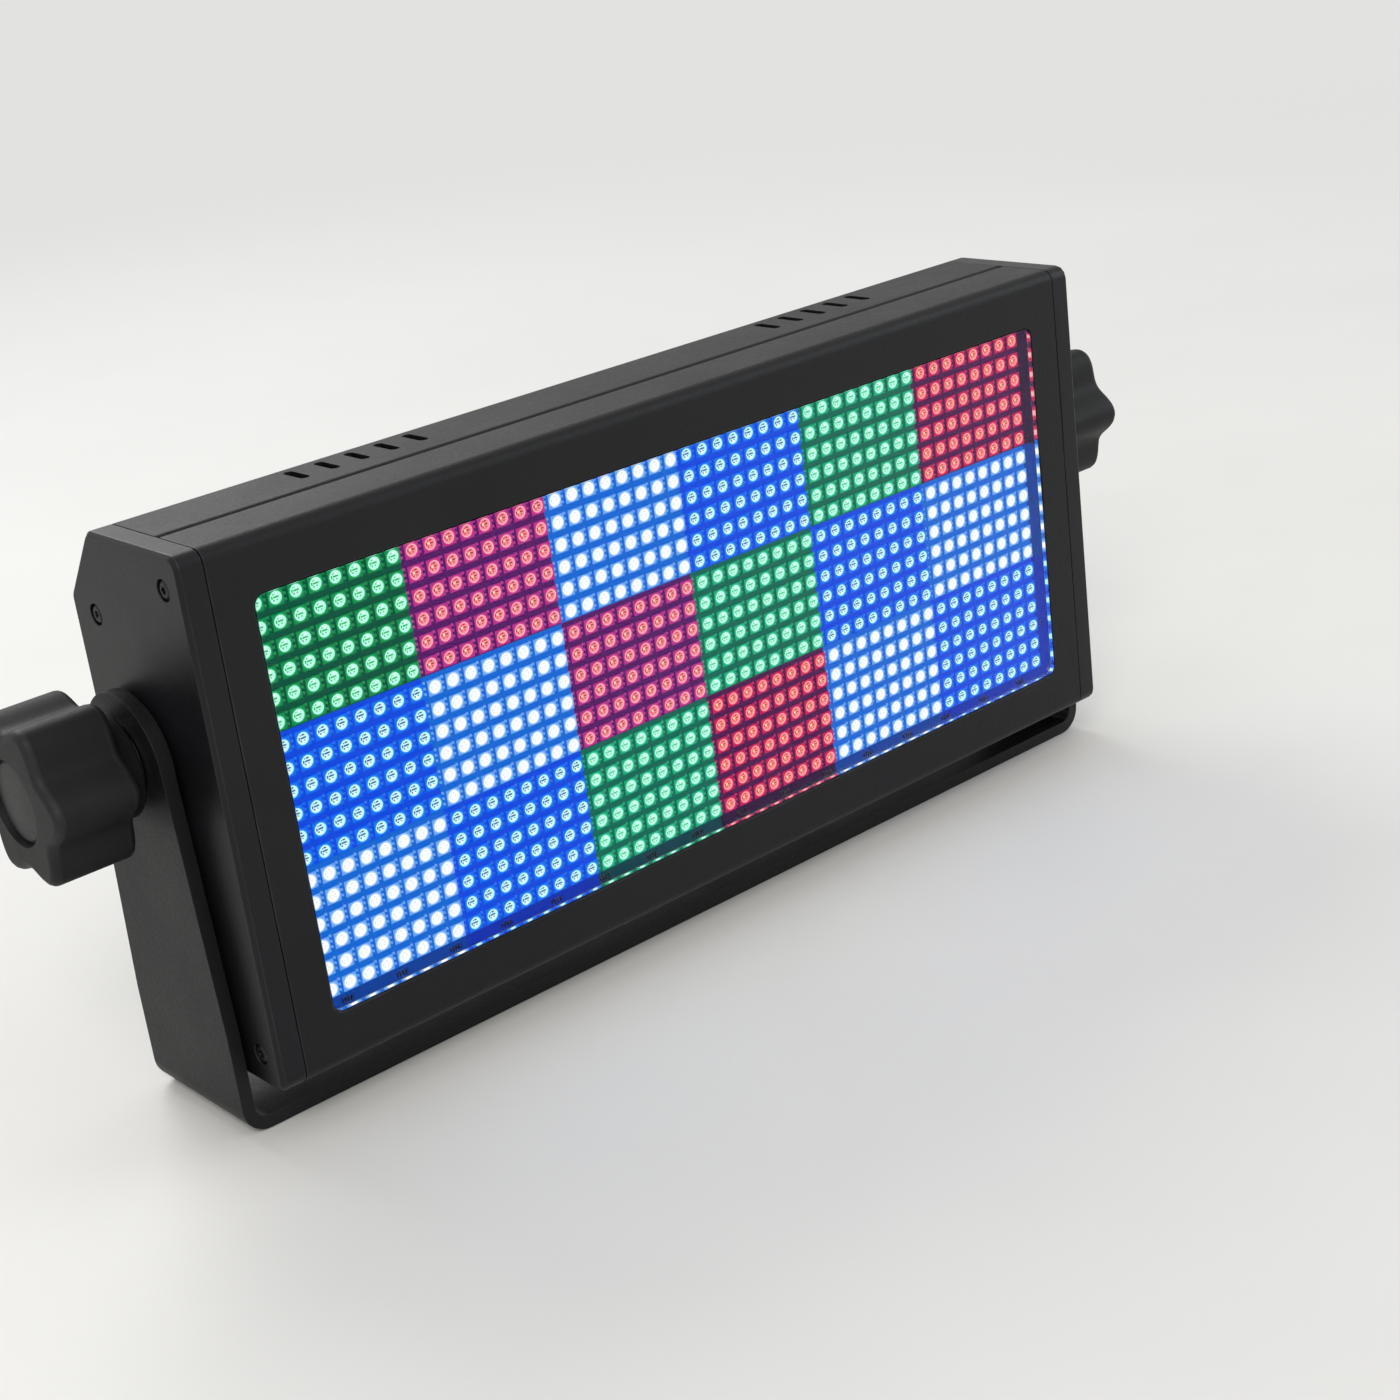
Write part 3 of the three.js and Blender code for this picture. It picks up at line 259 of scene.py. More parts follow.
# Tinned copper alloy: the bright pads and resistor caps at the lamps' edge
tin = finish(
    "tinned_copper_lead", "#a6abb0", "#d0d4d8", (0.22, 0.34), 0.4, 0.01, 2.0, Metallic=1.0,
)

# Alumina resistor arrays: dark glazed tops
glazed_resistor = finish("glazed_resistor", "#0d0e10", "#1b1d20", (0.25, 0.4), 0.5, 0.02, 2.0)

# Bars of unlit digits: cast epoxy, pale grey
unlit_bar = finish("unlit_digit_bar", "#80868a", "#8c9296", (0.4, 0.5), 1.0, 0.01, 5.0)

# Polyamide terminal block, moulded green
moulded_terminal = finish(
    "moulded_green_polyamide", "#1d6a3c", "#277a48", (0.4, 0.55), 0.8, 0.03, 8.0,
)


def pane_finish(name, tint, rough, mirrored):
    """A pane whose reflections are dimmed to a grey, and which throws no shadow behind it."""
    material, tree, shader = surface(name)
    wiped = noise(tree, add(tree, "ShaderNodeTexCoord").outputs["Object"], 45.0, 5.0)
    feed(tree, shader, {
        "Base Color": linear(tint), "IOR": 1.49, "Transmission Weight": 1.0,
        "Specular Tint": linear(mirrored), "Roughness": ranged(tree, wiped, 0.35, 0.7, *rough),
    })
    clear = add(tree, "ShaderNodeBsdfTransparent").outputs[0]
    shadow = add(tree, "ShaderNodeLightPath").outputs["Is Shadow Ray"]
    layered(tree, shadow, shader.outputs[0], clear)
    return material


# Cast acrylic with an anti-glare hard coat: clear and polished, with faint reflections
clear_acrylic = pane_finish("coated_cast_acrylic", "#f4f8fa", (0.0, 0.03), "#404040")

# The same sheet's eased edges: frosted by the scraper, so that they gather the light in a line
scraped_acrylic = pane_finish("scraped_cast_acrylic", "#b4bccc", (0.2, 0.32), "#606060")

# Polycarbonate over the display, tinted smoke grey: deep gloss, with the bars dim behind it
smoked_pane = pane_finish("smoked_polycarbonate", "#868c8e", (0.04, 0.12), "#d0d0d0")


def glowing(colour, glow, name, dark, light, rough, strength):
    """The finish of a lamp's part, which gives light of one even colour and barely mirrors. In the
    cup it is the lamp's own light; on the package, board and leads it is painted lamp light.
    """
    return finish(
        colour + "_" + name, dark, light, rough, 0.6, 0.02, 4.0, specular=0.06,
        **{"Emission Color": linear(glow), "Emission Strength": strength},
    )


# A lamp's parts: the finish's name, its unlit shades, its roughness and how strongly it glows
LAMP_PARTS = dict(
    # Silicone resin cured in the cup, which glows evenly
    resin=("lit_silicone", "#202020", "#2c2c2c", (0.12, 0.22), 1.1),
    rim=("lit_cup_wall", "#202020", "#2c2c2c", (0.3, 0.4), 1.1),
    # Gold bond wires and their pads, dark against the light
    marks=("bond_wires", "#141414", "#1e1e1e", (0.3, 0.4), 0.9),
    chip=("lit_chip", "#202020", "#2c2c2c", (0.2, 0.3), 1.2),
    # Black polyphthalamide package, with its lamp's light painted on as a glow, strongest at the
    # cup
    halo=("lit_package_rim", "#060607", "#0a0a0c", (0.36, 0.5), 1.05),
    package=("lit_package", "#060607", "#0a0a0c", (0.36, 0.5), 1.05),
    # Black solder mask, under the lamps and beyond them, with the lamps' light painted on as a glow
    board=("lit_solder_mask", "#07080a", "#0d0f12", (0.28, 0.4), 1.05),
    margin=("lit_margin", "#07080a", "#0d0f12", (0.28, 0.4), 1.0),
    # Tinned leads, with a painted reflection of the package's light: they glow in its colour
    leads=("lit_lead", "#303234", "#484a4c", (0.22, 0.34), 0.95),
)

# The light of each colour of lamp on these parts, up to the margin: its own light in the cup, and
# painted light on the package's rim, the package, the board and the margin. The outermost block's
# green is purer, and the red beside white lamps is rosy.
LAMP_GLOWS = dict(
    leaf="#b8ffe0 #b8ffe4 #00c058 #eafff4 #10a860 #048c48 #005038 #023844",
    green="#bcfce0 #bcffe8 #28d090 #f0fff8 #2cc898 #04a874 #006450 #023c48",
    red="#ff8c84 #ffa8b0 #d02c44 #ffe0a0 #e81850 #c40c58 #4c0448 #2c0438",
    rose="#fc8c90 #ffb4c8 #b81038 #ffdcb0 #d83880 #b82c88 #541060 #2c0844",
    white="#ffffff #ffffff #f4f8ff #ffffff #acd0fc #68a4f2 #0464d0 #023c98",
    blue="#c8f6ff #b8f0ff #003c88 #ffffff #0884f0 #006cec #0044dc #022cac",
)

# Where the lit chip of each colour lies in its lamp
LIT_CHIPS = dict(
    leaf=(0.3, 0.95), green=(0.3, 0.95), red=(-0.45, 0.15), rose=(-0.45, 0.15),
    white=(0.0, 0.0), blue=(0.1, -1.0),
)

# The colours of the light field's blocks, row by row from the top
LAMP_PATTERN = [row.split() for row in (
    "leaf rose white blue green red",
    "blue white rose green blue white",
    "white blue green red white blue",
)]


def lamp_finishes(colour):
    """The finishes of the parts of one lamp, by the part's name."""
    glows = dict(zip(LAMP_PARTS, LAMP_GLOWS[colour].split()))
    glows["leads"] = glows["package"]
    looks = {part: glowing(colour, glows[part], *made) for part, made in LAMP_PARTS.items()}
    # A package's sides take the board's painted lamp light
    looks["skirt"] = looks["board"]
    return looks


lamp_looks = {colour: lamp_finishes(colour) for colour in LAMP_GLOWS}

# Shapes


def spot(axis, a, b, along):
    """A point of an outline drawn flat across an axis."""
    return Vector({"x": (along, a, b), "y": (a, along, b), "z": (a, b, along)}[axis])


def around(centre, radius, angle):
    """The point at a distance from a centre and at an angle in degrees."""
    turn = radians(angle)
    return (centre[0] + radius * cos(turn), centre[1] + radius * sin(turn))


def arc(centre, radius, start, end, steps):
    """Points of an arc from one angle to another in degrees, both ends included."""
    return [around(centre, radius, start + (end - start) * i / steps) for i in range(steps + 1)]


def circle(centre, radius, steps=40):
    return arc(centre, radius, 0, 360, steps)[:-1]


def lobed(centre, radius, wave, steps):
    """An outline with six lobes, which rise and fall by wave about its radius."""
    angles = [360 * i / steps for i in range(steps)]
    return [around(centre, radius + wave * cos(radians(6 * a)), a) for a in angles]


def rounded_box(centre, width, height, radius, steps=6):
    """The outline of a rectangle with rounded corners."""
    points = []
    for quarter, (across, up) in enumerate(((1, 1), (-1, 1), (-1, -1), (1, -1))):
        corner = (centre[0] + across * (width / 2 - radius), centre[1] + up * (height / 2 - radius))
        points += arc(corner, radius, 90 * quarter, 90 * quarter + 90, steps)
    return points


def prism(points, axis, *ends):
    """A solid: an outline drawn across an axis and extruded from one end to the other."""
    start, end = sorted(ends)
    bm = bmesh.new()
    face = bm.faces.new([bm.verts.new(spot(axis, a, b, start)) for a, b in points])
    made = bmesh.ops.extrude_face_region(bm, geom=[face])["geom"]
    moved = [v for v in made if isinstance(v, bmesh.types.BMVert)]
    bmesh.ops.translate(bm, vec=spot(axis, 0, 0, end - start), verts=moved)
    bmesh.ops.recalc_face_normals(bm, faces=bm.faces)
    return bm


def block(low, high):
    """A box between two corners."""
    bm = bmesh.new()
    low, high = Vector(low), Vector(high)
    size = Matrix.Diagonal((*(high - low), 1))
    bmesh.ops.create_cube(bm, size=1, matrix=Matrix.Translation((low + high) / 2) @ size)
    return bm


def blocks(places, width, height, front, back):
    """A box of this width and height at each place (x, z), from front to back."""
    return [
        block((x - width / 2, front, z - height / 2), (x + width / 2, back, z + height / 2))
        for x, z in places
    ]


def turned(profile, axis, centre, steps=48, start=0.0, side=1):
    """A solid of revolution: a profile of (radius, place) pairs spun about an axis through centre,
    its places counted from start to a side."""
    bm = bmesh.new()
    points = [bm.verts.new(spot(axis, radius, 0, start + side * y)) for radius, y in profile]
    edges = [bm.edges.new(pair) for pair in zip(points, points[1:])]
    bmesh.ops.spin(
        bm, geom=points + edges, cent=(0, 0, 0), axis=spot(axis, 0, 0, 1), dvec=(0, 0, 0),
        angle=2 * pi, steps=steps, use_merge=True, use_duplicate=False,
    )
    bmesh.ops.remove_doubles(bm, verts=bm.verts, dist=0.001)
    bmesh.ops.recalc_face_normals(bm, faces=bm.faces)
    bmesh.ops.translate(bm, vec=spot(axis, centre[0], centre[1], 0), verts=bm.verts)
    return bm


def mesh_of(bm, name="blank"):
    mesh = bpy.data.meshes.new(name)
    bm.to_mesh(mesh)
    bm.free()
    return mesh


def bmesh_of(mesh):
    bm = bmesh.new()
    bm.from_mesh(mesh)
    return bm


def placed(name, data):
    """A new object in the scene."""
    thing = bpy.data.objects.new(name, data)
    scene.collection.objects.link(thing)
    return thing


def evaluated(thing):
    """A mesh with an object's modifiers applied."""
    return bpy.data.meshes.new_from_object(
        thing.evaluated_get(bpy.context.evaluated_depsgraph_get()))


def gathered(*solids):
    """Several solids in one mesh, without joining them."""
    whole = bmesh.new()
    for solid in solids:
        mesh = mesh_of(solid)
        whole.from_mesh(mesh)
        bpy.data.meshes.remove(mesh)
    return whole


def combined(base, tool, operation):
    """Two solids cut from, joined to or kept where they meet each other."""
    blank, cutter = placed("blank", mesh_of(base)), placed("cutter", mesh_of(tool))
    change = blank.modifiers.new("change", "BOOLEAN")
    change.object, change.operation, change.solver = cutter, operation, "EXACT"
    made = evaluated(blank)
    bm = bmesh_of(made)
    for mesh in (blank.data, cutter.data, made):
        bpy.data.meshes.remove(mesh)
    bmesh.ops.dissolve_limit(bm, angle_limit=FLAT, verts=bm.verts, edges=bm.edges)
    return bm


def cut(base, *tools):
    return combined(base, gathered(*tools), "DIFFERENCE")


def eased(bm, width, segments=2, least=32):
    """Rounds every edge that turns by more than so many degrees, and marks it as rubbed."""
    rubbed = bm.faces.layers.float.get(RUBBED) or bm.faces.layers.float.new(RUBBED)
    edges = [e for e in bm.edges if e.calc_face_angle(0) > radians(least)]
    rounded = bmesh.ops.bevel(
        bm, geom=edges, offset=width, offset_type="OFFSET", segments=segments, profile=0.5,
        affect="EDGES", clamp_overlap=True, material=-1,
    )["faces"]
    for face in rounded:
        face[rubbed] = 1.0
    return bm


def copied(node):
    """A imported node's own form, its flat faces made whole."""
    bm = bmesh_of(frame["nodes"][node].data)
    bmesh.ops.scale(bm, vec=(1 / MM,) * 3, verts=bm.verts)
    bmesh.ops.remove_doubles(bm, verts=bm.verts, dist=0.002)
    bmesh.ops.dissolve_limit(bm, angle_limit=FLAT, verts=bm.verts, edges=bm.edges)
    return bm


def bent_sheet(corners, thickness, inward, steps=6):
    """The section of a sheet bent along corners (a, b, radius), its thickness to one side."""
    places = [Vector(corner[:2]) for corner in corners]
    runs = [(after - before).normalized() for before, after in zip(places, places[1:])]
    outer, inner = [], []
    for corner, here, arriving, leaving in zip(corners, places, runs[:1] + runs, runs + runs[-1:]):
        turn = -arriving.angle_signed(leaving)
        across = Vector((-arriving.y, arriving.x))
        if abs(turn) < 1e-6:
            outer.append(here)
            inner.append(here + across * inward * thickness)
            continue
        radius, side = corner[2], copysign(1, turn)
        reach = radius * tan(abs(turn) / 2)
        centre = here - arriving * reach + across * side * radius
        for step in range(steps + 1):
            spun = Matrix.Rotation(turn * step / steps, 2) @ across
            outer.append(centre - spun * side * radius)
            inner.append(outer[-1] + spun * inward * thickness)
    return [tuple(p) for p in outer + inner[::-1]]


def assemble(name, parts, *nodes, body="head", sharp=42):
    """One piece from parts, each a solid and the finishes that its faces pick from by number. It
    rides on a body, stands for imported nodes, and is smooth between its sharp edges."""
    materials = list(dict.fromkeys(material for _, *finishes in parts for material in finishes))
    for solid, *finishes in parts:
        for face in solid.faces:
            face.material_index = materials.index(finishes[face.material_index])
    mesh = mesh_of(gathered(*[solid for solid, *_ in parts]), name)
    for material in materials:
        mesh.materials.append(material)
    mesh.transform(Matrix.Scale(MM, 4))
    mesh.shade_smooth()
    mesh.set_sharp_from_angle(angle=radians(sharp))
    piece = placed(name, mesh)
    piece.modifiers.new("even_shading", "WEIGHTED_NORMAL").keep_sharp = True
    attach(piece, body)
    if nodes:
        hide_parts(*nodes)


def screw(axis, centre, seat, outward, radius=2.8, height=1.6):
    """A part: a pan-head screw with a six-lobed recess, its head on a surface."""
    brim = 0.35 * height
    profile = [
        (0, 0), (radius, 0), (radius, brim), (0.86 * radius, 0.8 * height), (0.6 * radius, height),
        (0, height),
    ]
    head = turned(profile, axis, centre, 24, seat, outward)
    lobes = lobed(centre, 0.42 * radius, 0.08 * radius, 24)
    recess = prism(lobes, axis, seat + outward * brim, seat + outward * (height + 1))
    return cut(head, recess), oiled_screw


# Light field

array_low, array_high = box("left_lamp_board")
lamp_face = array_low.y
board_face = lamp_face + PACKAGE_HEIGHT
field_z = (array_low.z + array_high.z) / 2
field_left = -COLUMNS * PITCH_X / 2
field_top = field_z + ROWS * PITCH_Z / 2

# How far behind its face a lamp's package has its corners and the edge of its rim
CORNER_DEPTH, RIM_DEPTH = 0.08, 0.04


def upright(place, x=0, z=0, width=1, height=1):
    """Where a unit square goes as an upright one on the light field, seen from the front."""
    return (
        Matrix.Translation((x, place, z)) @ Matrix.Rotation(pi / 2, 4, "X")
        @ Matrix.Diagonal((width, height, 1, 1))
    )


def squares(*places):
    """Unit squares, each put in its place by a matrix."""
    bm = bmesh.new()
    for place in places:
        bmesh.ops.create_grid(bm, x_segments=1, y_segments=1, size=0.5, matrix=place)
    return bm


def taper(sides, back, front, depth, place):
    """An open cone or pyramid between two radii, put in its place by a matrix."""
    bm = bmesh.new()
    bmesh.ops.create_cone(
        bm, cap_ends=False, segments=sides, radius1=back, radius2=front, depth=depth, matrix=place,
    )
    return bm


def lamp_cell(colour):
    """One lamp and its share of the board, centred on X and Z: its solids by the part's name."""
    # The package's top is a square bridged to its round rim, and its sides spread to the board
    askew, diagonal = Matrix.Rotation(pi / 4, 4, "Z"), sqrt(2)
    top, height = PACKAGE_TOP / 2 * diagonal, PACKAGE_HEIGHT - 0.28
    package = bmesh.new()
    for sides, radius, place in (
        (4, top, upright(lamp_face + CORNER_DEPTH) @ askew),
        (12, HALO_RADIUS, upright(lamp_face + RIM_DEPTH)),
    ):
        bmesh.ops.create_circle(package, segments=sides, radius=radius, matrix=place)
    bmesh.ops.bridge_loops(package, edges=package.edges[:])
    bmesh.ops.reverse_faces(package, faces=[f for f in package.faces if f.normal.y > 0])
    skirt = taper(
        4, PACKAGE / 2 * diagonal, top, height,
        upright(lamp_face + CORNER_DEPTH + height / 2) @ askew,
    )

    # The package's rim, which carries painted lamp light, the cup's wall, and the resin inside it
    halo = taper(12, HALO_RADIUS, CUP_RADIUS, 0.02, upright(lamp_face + 0.03))
    inward = Matrix.Translation((0, lamp_face + 0.1, 0)) @ Matrix.Rotation(-pi / 2, 4, "X")
    wall = taper(12, CUP_RADIUS, RESIN_RADIUS, 0.16, inward)
    bmesh.ops.reverse_faces(wall, faces=wall.faces)
    resin = bmesh.new()
    bmesh.ops.create_circle(
        resin, cap_ends=True, segments=12, radius=RESIN_RADIUS + 0.03,
        matrix=upright(lamp_face + 0.16),
    )

    # Dark pads and bond wires, and the lit chip
    marks = squares(*[upright(lamp_face + 0.14, *place) for place in (
        (0.14, 0.1, 1.7, 0.44), (-1.12, 0.05, 0.4, 0.85), (0.2, 0.98, 0.8, 0.42),
        (-0.62, -0.72, 0.44, 0.42), (0.42, -0.64, 0.4, 0.36), (-0.6, 0.9, 0.38, 0.32),
    )])
    chip = squares(upright(lamp_face + 0.12, *LIT_CHIPS[colour], 0.72, 0.5))

    # Three leads on each side, sloping down to their pads
    leads = squares(*[
        Matrix.Translation((side * (PACKAGE / 2 + 0.24), board_face - 0.35, z))
        @ Matrix.Rotation(side * radians(52), 4, "Z") @ upright(0, 0, 0, 0.78, 0.8)
        for side in (-1, 1) for z in (-1.65, 0.0, 1.65)
    ])
    return dict(
        board=squares(upright(board_face, 0, 0, PITCH_X, PITCH_Z)), skirt=skirt, package=package,
        halo=halo, rim=wall, resin=resin, marks=marks, chip=chip, leads=leads,
    )


def lamp_block(colour):
    """One block of lamps of one colour, its first lamp at the top left: its mesh and finishes."""
    solids = lamp_cell(colour)
    for index, solid in enumerate(solids.values()):
        for face in solid.faces:
            face.material_index = index
    lamp = placed("lamp", mesh_of(gathered(*solids.values())))
    for _ in solids:
        lamp.data.materials.append(None)
    for count, step in ((BLOCK_COLUMNS, (PITCH_X, 0, 0)), (BLOCK_ROWS, (0, 0, -PITCH_Z))):
        row = lamp.modifiers.new("row", "ARRAY")
        row.count, row.use_relative_offset, row.use_constant_offset = count, False, True
        row.constant_offset_displace = step
    made = evaluated(lamp)
    bpy.data.objects.remove(lamp)
    return made, [lamp_looks[colour][part] for part in solids]


lamp_blocks = {colour: lamp_block(colour) for colour in LAMP_GLOWS}


def resistor_array(x, z):
    """Four resistors in one body, lying on the board's margin: its parts."""
    back = board_face + 0.1
    body = blocks([(x, z)], 3.8, 1.1, board_face - 0.5, back)[0]
    ends = blocks([(x + k - 1.5, z) for k in range(4)], 0.44, 1.7, board_face - 0.54, back)
    return [(eased(body, 0.08, 1), glazed_resistor), (gathered(*ends), tin)]


def lamp_array(hand, first_block, side):
    """One lamp board with its blocks of lamps, its resistor arrays and its bare margins, on which
    the lamps' light is painted as a glow.
    """
    low, high = box(hand + "_lamp_board")
    parts = [(block((low.x, board_face + 0.05, low.z), high), black_mask)]
    for row, colours in enumerate(LAMP_PATTERN):
        top = field_top - row * BLOCK_HEIGHT
        for i, colour in enumerate(colours[first_block:first_block + 3]):
            left = field_left + (first_block + i) * BLOCK_WIDTH
            mesh, finishes = lamp_blocks[colour]
            lamps = bmesh_of(mesh)
            place = (left + PITCH_X / 2, 0, top - PITCH_Z / 2)
            bmesh.ops.translate(lamps, verts=lamps.verts, vec=place)
            parts.append((lamps, *finishes))
            # Painted light: the outer blocks' glow is painted on the board up to its edge
            x = (low.x if i == 0 else left, high.x if i == 2 else left + BLOCK_WIDTH)
            z = (low.z if row == 2 else top - BLOCK_HEIGHT, high.z if row == 0 else top)
            strip = upright(board_face + 0.03, sum(x) / 2, sum(z) / 2, x[1] - x[0], z[1] - z[0])
            parts.append((squares(strip), lamp_looks[colour]["margin"]))
    for i in range(COLUMNS // 3):
        x = field_left + (3 * i + 1.35) * PITCH_X
        if low.x + 3 < x < high.x - 3:
            parts += resistor_array(x, field_z - ROWS * PITCH_Z / 2 - 2.1)
    pads = [(side * (COLUMNS * PITCH_X / 2 + 2.3), field_z + i * 22.0) for i in (-2, -1, 0, 1, 2)]
    parts += [(pad, tin) for pad in blocks(pads, 0.9, 1.8, board_face - 0.45, board_face + 0.1)]
    assemble(hand + "_lamp_array", parts, hand + "_lamp_board", sharp=30)


lamp_array("left", 0, -1)
lamp_array("right", 3, 1)

# Window: a clear sheet seated in the cover's opening, its eased edges frosted
pane_low, pane_high = box("window_pane")
pane_size = pane_high - pane_low
pane_centre = (0, (pane_low.z + pane_high.z) / 2)
pane_outline = rounded_box(pane_centre, pane_size.x, pane_size.z, 3.2, 8)
window = eased(prism(pane_outline, "y", pane_low.y, pane_high.y), 0.25)
for face in window.faces:
    face.material_index = int(0.2 < abs(face.normal.y) < 0.99)
assemble("window_sheet", [(window, clear_acrylic, scraped_acrylic)], "window_pane")

# Gasket: a moulded frame, and the painted light of the outer lamps: thin glowing strips along its
# inner wall
GASKET_WALL, GASKET_CORNER, LIT_SKIN = 1.6, 1.0, 0.05
low, high = box("window_gasket")
front, back = pane_high.y + SEAT / 2, high.y
left, right = low.x + GASKET_WALL, high.x - GASKET_WALL
bottom, top = low.z + GASKET_WALL, high.z - GASKET_WALL
rows = [
    top - GASKET_CORNER, field_top - BLOCK_HEIGHT, field_top - 2 * BLOCK_HEIGHT,
    bottom + GASKET_CORNER,
]
skins = []
for colours, above, below in zip(LAMP_PATTERN, rows, rows[1:]):
    skins += [
        (left, left + LIT_SKIN, below, above, colours[0]),
        (right - LIT_SKIN, right, below, above, colours[-1]),
    ]
for column in range(COLUMNS // BLOCK_COLUMNS):
    edge = field_left + column * BLOCK_WIDTH
    first = max(edge, left + GASKET_CORNER)
    last = min(edge + BLOCK_WIDTH, right - GASKET_CORNER)
    skins += [
        (first, last, bottom, bottom + LIT_SKIN, LAMP_PATTERN[-1][column]),
        (first, last, top - LIT_SKIN, top, LAMP_PATTERN[0][column]),
    ]
parts = [(copied("window_gasket"), rubber)]
for x, x_end, z, z_end, colour in skins:
    parts.append((block((x, front, z), (x_end, back, z_end)), lamp_looks[colour]["margin"]))
assemble("window_gasket_frame", parts, "window_gasket")

# Front cover: one bent sheet with the window's opening
low, high = box("front_cover")
opening = rounded_box(pane_centre, pane_size.x + 2 * SEAT, pane_size.z + 2 * SEAT, 3.5, 8)
cover_line = [
    (high.y, high.z), (low.y, high.z, BEND),
    (low.y, low.z, BEND), (high.y, low.z),
]
cover = cut(
    prism(bent_sheet(cover_line, SHEET, 1), "x", low.x, high.x),
    prism(opening, "y", low.y - PAST, low.y + SHEET + PAST),
)
assemble("front_cover_sheet", [(eased(cover, 0.35), powder_coat)], "front_cover")

# Top and bottom shells: bent sheets with a joggled lap, vents and chamfered rear edges
VENT_WIDTH, VENT_LENGTH, VENT_PITCH, VENT_COUNT = 3.0, 11.0, 10.0, 5
CHAMFER_DEPTH, CHAMFER_HEIGHT, LAP = 16.5, 20.0, 8.5
JOG, JOG_BEND = SHEET + SEAT, 1.8


def housing_shell(name, side):
    low, high = box(name)
    outside, edge = (high.z, low.z) if side > 0 else (low.z, high.z)
    under = outside - side * JOG
    line = [
        (low.y, under), (low.y + LAP, under, JOG_BEND), (low.y + LAP + JOG, outside, JOG_BEND),
        (high.y - CHAMFER_DEPTH, outside, BEND), (high.y, outside - side * CHAMFER_HEIGHT, BEND),
        (high.y, edge),
    ]
    sheet = prism(bent_sheet(line, SHEET, -side), "x", low.x, high.x)
    vents = []
    for group in (-1, 1):
        for i in range(VENT_COUNT):
            x = group * 0.55 * high.x + (i - (VENT_COUNT - 1) / 2) * VENT_PITCH
            place = (x, high.y - CHAMFER_DEPTH - 9.5)
            slot = rounded_box(place, VENT_WIDTH, VENT_LENGTH, VENT_WIDTH / 2 - 0.01, 5)
            vents.append(prism(slot, "z", outside + side * PAST, under - side * PAST))
    parts = [(eased(cut(sheet, *vents), 0.3), powder_coat)]
    parts += [screw("y", (x, edge + side * 3.6), high.y, 1) for x in (-146.0, -62.0, 62.0, 146.0)]
    assemble(name + "_sheet", parts, name)


housing_shell("top_shell", 1)
housing_shell("bottom_shell", -1)


def end_cap(hand, side):
    """A moulded cap with four screws sunk in it."""
    node = hand + "_end_cap"
    low, high = box(node)
    face = high.x if side > 0 else low.x
    places = [
        (low.y + 9, low.z + 10), (low.y + 9, high.z - 10), (high.y - 13, low.z + 24),
        (high.y - 13, high.z - 24),
    ]
    ends = (face - side * 1.3, face + side * PAST)
    sinks = [prism(circle(place, 3.1, 24), "x", *ends) for place in places]
    parts = [(eased(cut(copied(node), *sinks), 0.35, least=38), satin_abs)]
    parts += [screw("x", place, face - side * 1.25, side, 2.7, 1.1) for place in places]
    assemble(hand + "_cap", parts, node)


end_cap("left", -1)
end_cap("right", 1)

# Rear panel and what it carries
panel_low, panel_high = box("rear_panel")
panel_face = panel_high.y
display_x, display_z = middle("display_pane")
fan_x, fan_z = middle("fan_rotor")
buttons = ["menu_button_%d" % i for i in (1, 2, 3, 4)]
BARREL, FAN_BORE, FAN_SCREWS, FUSE_BARREL, BUTTON = 11.7, 28.5, 25.0, 6.0, 4.5
DISPLAY_WIDTH, DISPLAY_HEIGHT = 53.0, 19.0
MAINS_WIDTH, MAINS_HEIGHT, MAINS_CORNER, MAINS_LIP = 27.0, 20.0, 4.0, 6.0
mains_opening = (MAINS_WIDTH + 2 * SEAT, MAINS_HEIGHT + 2 * SEAT, 0.4, 2)
holes = [
    rounded_box((display_x, display_z), DISPLAY_WIDTH, DISPLAY_HEIGHT, 1.0, 3),
    circle((fan_x, fan_z), FAN_BORE, 64), circle(middle("fuse_cap"), FUSE_BARREL + SEAT),
    *[circle(middle(name), BARREL + SEAT) for name in ("signal_inlet", "signal_outlet")],
    *[rounded_box(middle(name), *mains_opening) for name in ("mains_inlet", "mains_outlet")],
    *[circle(middle(name), BUTTON + SEAT) for name in buttons],
]
panel = cut(
    block(panel_low, panel_high),
    *[prism(hole, "y", panel_low.y - PAST, panel_face + PAST) for hole in holes],
)
parts = [(eased(panel, 0.25), powder_coat)]
for x in (fan_x - FAN_SCREWS, fan_x + FAN_SCREWS):
    for z in (fan_z - FAN_SCREWS, fan_z + FAN_SCREWS):
        parts.append(screw("y", (x, z), panel_face, 1))
assemble("rear_panel_sheet", parts, "rear_panel")

# Fan guard: a stamped disc with three rings of openings, riveted on
low, high = box("fan_guard")
centre = middle("fan_guard")
hub, bar, rings = 8.0, 1.8, 3
width = (FAN_BORE - hub) / rings
openings = []
for ring in range(rings):
    inside = hub + ring * width + (bar / 2 if ring else 0)
    outside = hub + (ring + 1) * width - bar / 2
    near, far = (degrees(bar / 2 / r) for r in (inside, outside))
    for first in (0, 90, 180, 270):
        points = arc(centre, outside, first + far, first + 90 - far, 18)
        points += arc(centre, inside, first + 90 - near, first + near, 12)
        openings.append(prism(points, "y", low.y - PAST, high.y + PAST))
disc = cut(prism(circle(centre, (high.x - low.x) / 2, 72), "y", low.y, high.y), *openings)
parts = [(eased(disc, 0.35), powder_coat)]
rivet = [(0, 0.7), (0.8, 0.6), (1.3, 0.1), (1.3, 0), (0, 0)]
for angle in (45, 135, 225, 315):
    place = around(centre, FAN_BORE + 0.8, angle)
    parts.append((turned(rivet, "y", place, 16, high.y), zinc))
assemble("fan_guard_disc", parts, "fan_guard")

